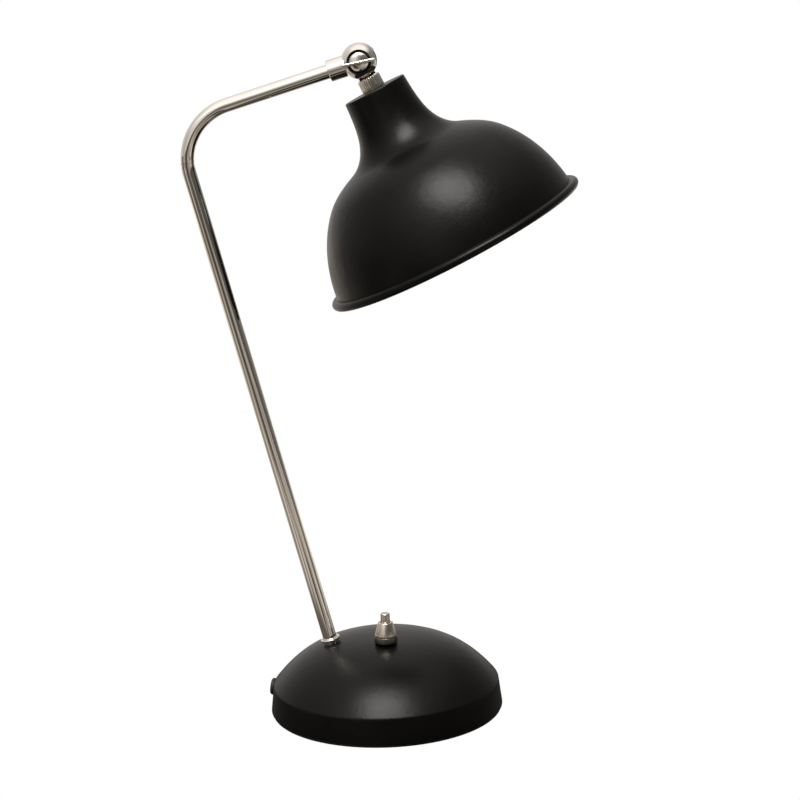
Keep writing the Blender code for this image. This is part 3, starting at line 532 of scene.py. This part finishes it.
def make_post():
    work = bmesh.new()
    rings = []
    side = Vector((0.0, 1.0, 0.0))
    path = post_path()
    for radius, line in ((TUBE_RADIUS, path), (TUBE_RADIUS - TUBE_WALL, path[::-1])):
        for place, along in line:
            out = side.cross(along).normalized()
            ring = []
            for i in range(TUBE_STEPS):
                angle = 2.0 * math.pi * i / TUBE_STEPS
                ring.append(work.verts.new(place + radius * (math.cos(angle) * out + math.sin(angle) * side)))
            rings.append(ring)
    for index in range(len(rings)):
        a, b = rings[index], rings[(index + 1) % len(rings)]
        for i in range(TUBE_STEPS):
            j = (i + 1) % TUBE_STEPS
            work.faces.new((a[i], a[j], b[j], b[i])).smooth = True
    bmesh.ops.recalc_face_normals(work, faces=work.faces)
    add_piece("tube", finished("tube", work), Matrix.Identity(4), "post_tube")

    bore = TUBE_RADIUS + GAP
    collar = [
        (COLLAR_RADIUS, COLLAR_TOP), (COLLAR_RADIUS, COLLAR_BOTTOM),
        (bore, COLLAR_BOTTOM), (bore, COLLAR_TOP),
    ]
    mesh = lathe_mesh("collar", rounded(collar, 0.0007, 5), 96, closed=True)
    add_piece("collar", mesh, frame_at(FOOT_POINT, (0.0, -POST_LEAN, 0.0)), "post_collar")


# ---------------------------------------------------------------- switch

SWITCH_BORE = 0.0043
CONE_RADIUS = 0.0081
CONE_TOP_RADIUS = 0.0053
CONE_LEDGE = 0.0665
BUTTON_RADIUS = 0.00335
BUTTON_STEM_RADIUS = 0.0022
BUTTON_PIN_RADIUS = 0.0015


def make_switch():
    low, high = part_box("switch_base_ring")
    outer = (high.x - low.x) / 2.0
    ring = [(outer, high.z), (outer, low.z), (SWITCH_BORE, low.z), (SWITCH_BORE, high.z)]
    mesh = lathe_mesh("switch_collar", rounded(ring, 0.0004, 4), 96, closed=True)
    add_piece("switch_collar", mesh, SWITCH, "switch_base_ring")

    low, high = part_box("switch_cone")
    cone = [
        (CONE_TOP_RADIUS, high.z), (CONE_RADIUS, low.z + 0.0010), (CONE_RADIUS, low.z), (SWITCH_BORE, low.z),
        (SWITCH_BORE, CONE_LEDGE), (BUTTON_RADIUS + GAP, CONE_LEDGE), (BUTTON_RADIUS + GAP, high.z),
    ]
    mesh = lathe_mesh("switch_cap", rounded(cone, 0.0004, 4), 96, closed=True)
    add_piece("switch_cap", mesh, SWITCH, "switch_cone")

    low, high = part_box("switch_button")
    # The pin at the stem's end goes into the return spring's coil. The CAD stem has no such pin.
    button = [
        (0.0, high.z), (BUTTON_RADIUS, high.z), (BUTTON_RADIUS, CONE_LEDGE + GAP),
        (BUTTON_STEM_RADIUS, CONE_LEDGE + GAP), (BUTTON_STEM_RADIUS, low.z + 0.0034),
        (BUTTON_PIN_RADIUS, low.z + 0.0032), (BUTTON_PIN_RADIUS, low.z), (0.0, low.z),
    ]
    mesh = lathe_mesh("push_button", rounded(button, 0.0007, 5, closed=False), 72)
    add_piece("push_button", mesh, SWITCH, "switch_button")


# ---------------------------------------------------------------- knuckle

BALL_RADIUS = 0.0129
SLEEVE_RADIUS = 0.0076
SLEEVE_START = 0.0070
SLEEVE_END = 0.0226
SLOT_HALF = 0.0050
SLOT_RADIUS = 0.0110
STEM_HALF = 0.0060
SEAT_RADIUS = 0.0086
SEAT_DEPTH = 0.0076
SWING_MARGIN = math.radians(3.0)
SCREW_HOLE_RADIUS = 0.0024
LEAD_BORE_RADIUS = 0.0030
GRUB_HOLE_RADIUS = 0.0018
GRUB_PLACE = 0.0178
TILT_RANGE = [math.radians(v) for v in JOINTS["head_tilt"]["range_deg"]]


def temporary(name, mesh, matrix):
    obj = bpy.data.objects.new(name, mesh)
    SCENE.collection.objects.link(obj)
    obj.matrix_world = matrix
    return obj


def cut(obj, tools):
    """Applies exact Booleans, then removes the tools."""
    for tool, operation in tools:
        modifier = obj.modifiers.new(tool.name, "BOOLEAN")
        modifier.solver = "EXACT"
        modifier.operation = operation
        modifier.object = tool
    bpy.context.view_layer.update()
    mesh = bpy.data.meshes.new_from_object(obj.evaluated_get(bpy.context.evaluated_depsgraph_get()))
    for tool, _ in tools:
        bpy.data.objects.remove(tool)
    bpy.data.objects.remove(obj)
    mesh.materials.clear()
    return mesh


def cylinder(radius, low, high, steps=96):
    return lathe_mesh("cutter", [(0.0, high), (radius, high), (radius, low), (0.0, low)], steps)


def wedge_mesh(start, end, radius, half):
    """A flat sector in XY, as thick as twice half along Z."""
    work = bmesh.new()
    rim = [(0.0, 0.0)]
    for i in range(33):
        angle = start + (end - start) * i / 32
        rim.append((radius * math.cos(angle), radius * math.sin(angle)))
    top = [work.verts.new((x, y, half)) for x, y in rim]
    bottom = [work.verts.new((x, y, -half)) for x, y in rim]
    work.faces.new(top)
    work.faces.new(bottom[::-1])
    for i in range(len(rim)):
        j = (i + 1) % len(rim)
        work.faces.new((top[i], bottom[i], bottom[j], top[j]))
    bmesh.ops.recalc_face_normals(work, faces=work.faces)
    return finished("wedge", work)


def shade_normals(mesh, normal_at):
    """Gives the curved faces their true normals, which keeps reflections clean beside cuts."""
    normals = []
    for polygon in mesh.polygons:
        polygon.use_smooth = True
        for index in polygon.loop_indices:
            corner = mesh.vertices[mesh.loops[index].vertex_index].co
            normals.append(normal_at(polygon, corner))
    mesh.normals_split_custom_set(normals)


def knuckle_normal(polygon, corner):
    centre = polygon.center
    if centre.length > BALL_RADIUS * 0.985 and polygon.normal.dot(centre.normalized()) > 0.9:
        return corner.normalized()
    radial = Vector((0.0, centre.y, centre.z))
    on_sleeve = centre.x < -SLEEVE_START and abs(radial.length - SLEEVE_RADIUS) < 0.0001
    if on_sleeve and polygon.normal.dot(radial.normalized()) > 0.9:
        return Vector((0.0, corner.y, corner.z)).normalized()
    return polygon.normal


def make_knuckle():
    work = bmesh.new()
    bmesh.ops.create_uvsphere(work, u_segments=96, v_segments=64, radius=BALL_RADIUS)
    bmesh.ops.rotate(work, verts=work.verts, matrix=Matrix.Rotation(math.pi / 2.0, 3, "X"))
    ball = temporary("ball", finished("ball", work), Matrix.Identity(4))
    sleeve = [
        (0.0, -SLEEVE_START), (SLEEVE_RADIUS, -SLEEVE_START), (SLEEVE_RADIUS, -SLEEVE_END + 0.0005),
        (SLEEVE_RADIUS - 0.0005, -SLEEVE_END), (0.0, -SLEEVE_END),
    ]
    swing = math.asin(STEM_HALF / SLOT_RADIUS) + SWING_MARGIN
    local = math.pi / 2.0 + ARM_RISE
    wedge = wedge_mesh(SHADE_TILT + TILT_RANGE[0] - swing - local,
                       SHADE_TILT + TILT_RANGE[1] + swing - local, 0.0200, SLOT_HALF)
    grub = Matrix.Translation((-GRUB_PLACE, 0.0, 0.0))
    tools = [
        (temporary("sleeve", lathe_mesh("sleeve", sleeve, 96), ALONG_X), "UNION"),
        (temporary("tube_bore", cylinder(TUBE_RADIUS + GAP, -0.0300, -0.0129), ALONG_X), "DIFFERENCE"),
        (temporary("lead_bore", cylinder(LEAD_BORE_RADIUS, -0.0150, -0.0050, 48), ALONG_X), "DIFFERENCE"),
        (temporary("pocket", cylinder(SLOT_RADIUS, -SLOT_HALF, SLOT_HALF), ACROSS), "DIFFERENCE"),
        (temporary("slot", wedge, ACROSS), "DIFFERENCE"),
        (temporary("seat", cylinder(SEAT_RADIUS, SEAT_DEPTH, 0.0150), ACROSS), "DIFFERENCE"),
        (temporary("screw_hole", cylinder(SCREW_HOLE_RADIUS, -0.0150, 0.0100, 48), ACROSS), "DIFFERENCE"),
        (temporary("grub_hole", cylinder(GRUB_HOLE_RADIUS, -0.0100, -0.0040, 48), grub), "DIFFERENCE"),
    ]
    mesh = cut(ball, tools)
    # Faces inside the ball's pocket, slot, seat and holes take the second material: near-black painted shade.
    for polygon in mesh.polygons:
        shaded_hollow = polygon.center.length < BALL_RADIUS * 0.975 and polygon.center.x > -0.0110
        polygon.material_index = 1 if shaded_hollow else 0
    shade_normals(mesh, knuckle_normal)
    add_piece("ball_joint", mesh, KNUCKLE, "knuckle_ball", [POLISHED, PAINTED_SHADE_BLACK], sharp=None)


HUB_RADIUS = 0.0074
HUB_TOP = 0.0112
SHANK_RADIUS = 0.0021
SHANK_END = 0.0110
WING_WIDTH = 0.0230
WING_THICKNESS = 0.0024
WING_FRONT = -0.0180
WING_REAR = -0.0100


def make_wing_screw():
    crown = ((0.0045, HUB_TOP), (HUB_RADIUS - 0.0012, 0.0104), (HUB_RADIUS - 0.0003, 0.0090))
    body = bezier((0.0, HUB_TOP), *crown, 14)
    body += [
        (HUB_RADIUS, 0.0086), (HUB_RADIUS, SEAT_DEPTH + GAP), (SHANK_RADIUS, SEAT_DEPTH + GAP),
        (SHANK_RADIUS, -SHANK_END), (0.0, -SHANK_END),
    ]
    screw = temporary("screw", lathe_mesh("screw", body, 96), ACROSS)
    size = (WING_WIDTH, WING_FRONT - WING_REAR, WING_THICKNESS)
    wing = box_mesh("wing", size, (0.0, (WING_FRONT + WING_REAR) / 2.0, 0.0), bevel=0.0008)
    mesh = cut(screw, [(temporary("wing", wing, Matrix.Identity(4)), "UNION")])
    for polygon in mesh.polygons:
        polygon.use_smooth = True
    add_piece("wing_screw", mesh, WING @ ACROSS, "thumb_screw", sharp=28.0)


# ---------------------------------------------------------------- head

SHADE_TOP = 0.0217
NECK_RADIUS = 0.0083
NECK_TOP = 0.0121
TONGUE_RADIUS = 0.0103
TONGUE_HALF = 0.0036
SPIGOT_RADIUS = 0.0049
SHADE_KNOTS = (
    (0.0012, 0.0229, math.radians(4.0)),
    (0.0263, 0.0261, math.radians(15.0)),
    (0.0469, 0.0424, math.radians(68.0)),
    (0.0622, 0.0671, math.radians(43.0)),
    (0.1180, 0.0918, math.radians(7.0)),
)
RIM_DEPTH = 0.1209
BEAD_CENTRE = 0.0939
BEAD_RADIUS = 0.0031
BEAD_STEPS = 32
BEAD_START = 118.0
BEAD_SWEEP = 332.0
BEAD_INSIDE_STEP = 28
SHADE_SHEET = 0.0010
SHADE_HOLE = 0.0053
SHADE_FLAT = 0.0120
SPIGOT_END = 0.0350
STEM_HEIGHT = 0.0140
STEM_MIDDLE = 0.0090
NIPPLE_BORE_RADIUS = 0.0026
PIVOT_HOLE_RADIUS = 0.0025
RIDGES = 32
RIDGE_DEPTH = 0.035
RIDGED_POINTS = (3, 4, 5)


def make_neck():
    def ridge(index, angle):
        depth = RIDGE_DEPTH if index in RIDGED_POINTS else 0.0
        return 1.0 - depth * (0.5 + 0.5 * math.cos(RIDGES * angle))

    barrel = [
        (0.0, -NECK_TOP), (NECK_RADIUS - 0.0009, -NECK_TOP), (NECK_RADIUS - 0.0002, -NECK_TOP - 0.0007),
        (NECK_RADIUS, -NECK_TOP - 0.0012), (NECK_RADIUS, -NECK_TOP - 0.0045),
        (NECK_RADIUS, -SHADE_TOP + GAP + 0.0003), (NECK_RADIUS - 0.0003, -SHADE_TOP + GAP),
        (SPIGOT_RADIUS, -SHADE_TOP + GAP), (SPIGOT_RADIUS, -SPIGOT_END), (0.0, -SPIGOT_END),
    ]
    neck = temporary("neck", lathe_mesh("neck", barrel, RIDGES * 8, shape=ridge), Matrix.Identity(4))
    tongue = rounded([(0.0, TONGUE_HALF), (TONGUE_RADIUS, TONGUE_HALF), (TONGUE_RADIUS, -TONGUE_HALF),
                      (0.0, -TONGUE_HALF)], 0.0003, 3, closed=False)
    size = (2 * STEM_HALF, 2 * (TONGUE_HALF - GAP), STEM_HEIGHT)
    stem = box_mesh("stem", size, (0.0, 0.0, -STEM_MIDDLE))
    bore = cylinder(NIPPLE_BORE_RADIUS, -0.0500, -0.0110, 48)
    tools = [
        (temporary("stem", stem, Matrix.Identity(4)), "UNION"),
        (temporary("tongue", lathe_mesh("tongue", tongue, 96), ACROSS), "UNION"),
        (temporary("bore", bore, Matrix.Identity(4)), "DIFFERENCE"),
        (temporary("hole", cylinder(PIVOT_HOLE_RADIUS, -0.0200, 0.0200, 48), ACROSS), "DIFFERENCE"),
    ]
    mesh = cut(neck, tools)
    # Faces above the barrel's top, the tongue and stem in the ball's slot, take the second material: near-black
    # painted shade.
    for polygon in mesh.polygons:
        polygon.use_smooth = True
        polygon.material_index = 1 if polygon.center.z > -NECK_TOP + 0.0001 else 0
    add_piece("neck_joint", mesh, HEAD, "head_neck", [KNURLED, PAINTED_SHADE_BLACK], sharp=30.0)


def shade_wall(steps):
    points = []
    for (s0, r0, a0), (s1, r1, a1) in zip(SHADE_KNOTS, SHADE_KNOTS[1:]):
        handle = math.hypot(s1 - s0, r1 - r0) / 3.0 / math.cos((a1 - a0) / 4.0) ** 2
        start_handle = (r0 + handle * math.sin(a0), s0 + handle * math.cos(a0))
        end_handle = (r1 - handle * math.sin(a1), s1 - handle * math.cos(a1))
        stretch = bezier((r0, s0), start_handle, end_handle, (r1, s1), steps)
        points += stretch if not points else stretch[1:]
    return points


def make_shade():
    wall = shade_wall(18)
    edge_start = (wall[0][0] - 0.0014, 0.0)
    edge_end = (wall[0][0], 0.0012)
    edge = bezier(edge_start, (wall[0][0] - 0.0003, 0.0), (wall[0][0] - 0.00008, 0.0002), edge_end, 6)
    top = [(SHADE_HOLE, 0.0), (SHADE_FLAT, 0.0)]
    outer = [(radius, -SHADE_TOP - depth) for radius, depth in top + edge[:-1] + wall]
    inner = offset(outer, SHADE_SHEET)
    inner[0] = (SHADE_HOLE, -SHADE_TOP - SHADE_SHEET)
    inner[1] = (SHADE_FLAT, -SHADE_TOP - SHADE_SHEET)
    bead = []
    for i in range(BEAD_STEPS + 1):
        angle = math.radians(BEAD_START - BEAD_SWEEP * i / BEAD_STEPS)
        radius = BEAD_CENTRE + BEAD_RADIUS * math.cos(angle)
        bead.append((radius, -SHADE_TOP - RIM_DEPTH + BEAD_RADIUS * math.sin(angle)))
    outline = outer + bead + inner[::-1]
    inside = len(outer) + BEAD_INSIDE_STEP
    mesh = lathe_mesh("shade_bell", outline, 224, closed=True, inside_from=inside)
    add_piece("shade_bell", mesh, HEAD, "shade", [PAINT, ENAMEL])


HOLDER_TOP = -0.0300
HOLDER_JOIN = -0.0450
SKIRT_HEIGHT = 0.0320
SKIRT_RIBS = 36
SKIRT_RIB_DEPTH = 0.018
SKIRT_RIBBED_POINTS = range(2, 8)
BULB_NECK = 0.0098
BULB_GLASS = 0.0009
BULB_RADIUS = 0.0225
BULB_CENTRE = -0.1120
BULB_SHOULDER = math.radians(56.0)


def make_lampholder():
    low, high = HOLDER_JOIN, HOLDER_TOP
    cap = [
        (0.0100, high), (0.0135, high - 0.0030), (0.0140, low), (0.0128, low), (0.0123, high - 0.0036),
        (0.0095, high - 0.0014), (0.0052, high - 0.0014), (0.0052, high),
    ]
    mesh = lathe_mesh("holder_dome", rounded(cap, 0.0006, 4), 96, closed=True)
    add_piece("holder_dome", mesh, HEAD, "holder_cap")

    def ribs(index, angle):
        depth = SKIRT_RIB_DEPTH if index in SKIRT_RIBBED_POINTS else 0.0
        return 1.0 - depth * (0.5 + 0.5 * math.cos(SKIRT_RIBS * angle))

    top = low - GAP
    bottom = top - SKIRT_HEIGHT
    side = [(0.0138 - 0.0004 * t / 5, top - 0.0012 - 0.0290 * t / 5) for t in range(6)]
    body = [
        (0.0, top), (0.0132, top), *side, (0.0134, bottom + 0.0006), (0.0128, bottom), (0.0086, bottom),
        (0.0086, top - 0.0070), (0.0, top - 0.0070),
    ]
    mesh = lathe_mesh("holder_skirt", body, 288, shape=ribs)
    add_piece("holder_skirt", mesh, HEAD, "holder_body")

    neck_top = bottom - 0.0030 - GAP
    start = (BULB_NECK + 0.0002, neck_top - 0.0020)
    start_handle = (start[0] + 0.0004, start[1] - 0.0020)
    end = (BULB_RADIUS * math.cos(BULB_SHOULDER), BULB_CENTRE + BULB_RADIUS * math.sin(BULB_SHOULDER))
    end_handle = (end[0] - 0.0012, end[1] + 0.0009)
    outer = [(BULB_NECK, neck_top)] + bezier(start, start_handle, end_handle, end, 8)
    for i in range(1, 33):
        angle = BULB_SHOULDER - (BULB_SHOULDER + math.pi / 2.0) * i / 32
        outer.append((max(BULB_RADIUS * math.cos(angle), 0.0), BULB_CENTRE + BULB_RADIUS * math.sin(angle)))
    outer[-1] = (0.0, BULB_CENTRE - BULB_RADIUS)
    inner = offset(outer, BULB_GLASS)
    inner[0] = (BULB_NECK - BULB_GLASS, neck_top)
    inner[-1] = (0.0, BULB_CENTRE - BULB_RADIUS + BULB_GLASS)
    mesh = lathe_mesh("bulb", inner[::-1] + outer, 96)
    add_piece("bulb", mesh, HEAD, "bulb_glass")


make_base()
make_gland()
make_post()
make_switch()
make_knuckle()
make_wing_screw()
make_neck()
make_shade()
make_lampholder()


# ---------------------------------------------------------------- floor and light

WHITE = (1.0, 1.0, 1.0, 1.0)
ROOM_TINT = (1.0, 0.975, 0.94)
FLOOR_TINT = (1.0, 0.91, 0.80)
KEY_TINT = (1.0, 0.985, 0.96)
ROOM_STRENGTH = 1.5
FLOOR_STRENGTH = 1.15
FLOOR_HALF = 30.0
FLOOR_GAP = 0.0002
LAMP_MIDDLE = Vector((0.0, 0.0, 0.25))


def grey_stops(*stops):
    return [(position, (level,) * 3) for position, level in stops]


def greys(*levels):
    """Evenly spaced stops of plain grey."""
    return [(i / (len(levels) - 1), (level,) * 3) for i, level in enumerate(levels)]


def azimuth_stops(*stops):
    """Stops of plain grey at angles in degrees, 0 being -Y."""
    return [(angle / 360.0 + 0.5, (level,) * 3) for angle, level in stops]


# The camera sees the floor and the room as white. The greys below show only in reflections.
# The levels of NEAR_STREAKS and FAR_STREAKS began as grey values read across the post in the photo.
NEAR_STREAKS = azimuth_stops(
    (-180, 0.40), (-118, 0.30), (-91, 0.15), (-70, 0.34), (-51, 0.46), (-33, 0.14), (-22, 0.40), (-2, 0.28),
    (3, 0.22), (7, 0.01), (18, 0.01), (23, 0.28), (42, 0.26), (58, 0.32), (91, 0.20), (118, 0.08),
    (180, 0.35),
)
FAR_STREAKS = azimuth_stops(
    (-180, 0.75), (-145, 0.70), (-118, 0.46), (-95, 0.22), (-74, 0.05), (-52, 0.36), (-36, 0.14), (-18, 0.03),
    (0, 0.14), (18, 0.27), (34, 0.26), (52, 0.32), (66, 0.46), (78, 0.10), (96, 0.10), (118, 0.40),
    (145, 0.70), (180, 0.75),
)
NEAR_CENTRE = -0.05
FAR_CENTRE = -0.09
# Painted shadow: in reflections the floor is dimmed to this level round the lamp's foot.
UNDER_SHADOW_REACH = (0.16, 0.26)
UNDER_SHADOW_LEVEL = 0.10
NEAR_REACH = (0.45, 0.75)
FAN_LINES = 16.0
FAN_CONTRAST = (0.05, 2.3)
PATCH = (0.08, -0.21, 0.0)
PATCH_REACH = (0.04, 0.11)
PATCH_LEVEL = 0.38
REAR_SIDES = greys(0.42, 0.60, 0.62, 0.26, 0.12)
REAR_DEPTHS = greys(0.28, 0.50, 0.90, 0.85, 0.80)
SIDES = grey_stops(
    (0.0, 0.45), (0.25, 0.80), (0.38, 0.85), (0.46, 0.38), (0.55, 0.16), (0.75, 0.10), (1.0, 0.10),
)
HEIGHTS = grey_stops((0.0, 0.55), (0.25, 0.60), (0.50, 1.12), (1.0, 1.05))
FRONT_REACH = (-0.55, 0.15)
ABOVE_REACH = (0.62, 0.95)
ABOVE_LEVEL = 0.74


def make_floor():
    """A floor that is white to the camera. Reflections see grey streaks that fan out round the lamp, and a painted
    shadow round its foot.
    """
    work = bmesh.new()
    bmesh.ops.create_grid(work, x_segments=1, y_segments=1, size=FLOOR_HALF)
    mesh = finished("floor", work)
    floor = bpy.data.objects.new("floor", mesh)
    SCENE.collection.objects.link(floor)
    floor.location.z = -FLOOR_GAP
    material = bpy.data.materials.new("floor")
    material.use_nodes = True
    nodes = Nodes(material.node_tree)
    seen = nodes.add("ShaderNodeLightPath").outputs["Is Camera Ray"]
    place = nodes.add("ShaderNodeTexCoord").outputs["Object"]
    parts = nodes.add("ShaderNodeSeparateXYZ", {"Vector": place}).outputs
    away = nodes.add("ShaderNodeVectorMath", {0: place}, operation="LENGTH").outputs["Value"]
    back = nodes.math("MULTIPLY", parts["Y"], -1.0)

    def turn_about(x):
        turn = nodes.math("ARCTAN2", nodes.math("SUBTRACT", parts["X"], x), back)
        return nodes.math("MULTIPLY_ADD", turn, 0.5 / math.pi, 0.5)

    far_turn = turn_about(FAR_CENTRE)
    near_streaks = nodes.ramp(turn_about(NEAR_CENTRE), NEAR_STREAKS)
    streaks = nodes.mix(nodes.smooth(away, *NEAR_REACH), near_streaks, nodes.ramp(far_turn, FAR_STREAKS))
    fan_turn = nodes.math("MULTIPLY", far_turn, FAN_LINES)
    fan = nodes.add("ShaderNodeCombineXYZ", {"X": fan_turn, "Y": away}).outputs[0]
    streaks = nodes.times(streaks, nodes.spread(nodes.noise(fan, 1.0, 3.0, 0.7), *FAN_CONTRAST))
    from_patch = nodes.add("ShaderNodeVectorMath", {0: place, 1: PATCH}, operation="DISTANCE")
    patch = nodes.smooth(from_patch.outputs["Value"], *PATCH_REACH, falling=True)
    streaks = nodes.mix(patch, streaks, rgba((PATCH_LEVEL,) * 3))
    # Painted shadow round the lamp's foot, seen only in reflections.
    dim = nodes.mix(nodes.smooth(away, *UNDER_SHADOW_REACH), rgba((UNDER_SHADOW_LEVEL,) * 3), streaks)
    dim = nodes.times(dim, FLOOR_TINT)
    plain = nodes.add("ShaderNodeEmission", {"Color": dim, "Strength": FLOOR_STRENGTH})
    white = nodes.add("ShaderNodeEmission", {"Color": WHITE, "Strength": 1.0})
    mixed = nodes.add("ShaderNodeMixShader", {0: seen, 1: plain.outputs[0], 2: white.outputs[0]})
    output = nodes.add("ShaderNodeOutputMaterial")
    nodes.tree.links.new(mixed.outputs[0], output.inputs["Surface"])
    mesh.materials.append(material)


def make_world():
    """A pale room, brighter on the left and darker on the right in reflections, and white to the camera."""
    world = bpy.data.worlds.new("world")
    world.use_nodes = True
    SCENE.world = world
    nodes = Nodes(world.node_tree)
    seen = nodes.add("ShaderNodeLightPath").outputs["Is Camera Ray"]
    way = nodes.add("ShaderNodeTexCoord").outputs["Generated"]
    parts = nodes.add("ShaderNodeSeparateXYZ", {"Vector": way}).outputs
    across = nodes.math("MULTIPLY_ADD", parts["X"], 0.5, 0.5)
    depth = nodes.math("MULTIPLY_ADD", parts["Y"], 0.5, 0.5)
    rear = nodes.times(nodes.ramp(across, REAR_SIDES), nodes.ramp(depth, REAR_DEPTHS))
    front = nodes.times(nodes.ramp(across, SIDES), nodes.ramp(parts["Z"], HEIGHTS))
    room = nodes.mix(nodes.smooth(parts["Y"], *FRONT_REACH, falling=True), rear, front)
    room = nodes.mix(nodes.smooth(parts["Z"], *ABOVE_REACH), room, rgba((ABOVE_LEVEL,) * 3))
    tinted = nodes.times(room, ROOM_TINT)
    around = nodes.add("ShaderNodeBackground", {"Color": tinted, "Strength": ROOM_STRENGTH})
    white = nodes.add("ShaderNodeBackground", {"Color": WHITE, "Strength": 1.0})
    mixed = nodes.add("ShaderNodeMixShader", {0: seen, 1: around.outputs[0], 2: white.outputs[0]})
    output = nodes.add("ShaderNodeOutputWorld")
    nodes.tree.links.new(mixed.outputs[0], output.inputs["Surface"])


def make_softbox(name, azimuth, elevation, distance, width, height, radiance):
    """An oval area light of a set brightness that faces the middle of the lamp. Angles are in degrees."""
    light = bpy.data.lights.new(name, "AREA")
    light.shape = "ELLIPSE"
    light.size = width
    light.size_y = height
    light.energy = radiance * math.pi * width * height * math.pi / 4.0
    light.color = KEY_TINT
    softbox = bpy.data.objects.new(name, light)
    SCENE.collection.objects.link(softbox)
    towards = direction(math.radians(azimuth), math.radians(elevation))
    softbox.location = LAMP_MIDDLE + towards * distance
    softbox.rotation_euler = (-towards).to_track_quat("-Z", "Y").to_euler()
    softbox.visible_camera = False


make_floor()
make_world()
make_softbox(
    "key_softbox", azimuth=-3.0, elevation=60.5, distance=1.8, width=1.20, height=0.92, radiance=15.0,
)
SCENE.view_settings.view_transform = "Standard"
SCENE.view_settings.look = "None"
SCENE.view_settings.exposure = 0.0
SCENE.view_settings.gamma = 1.0
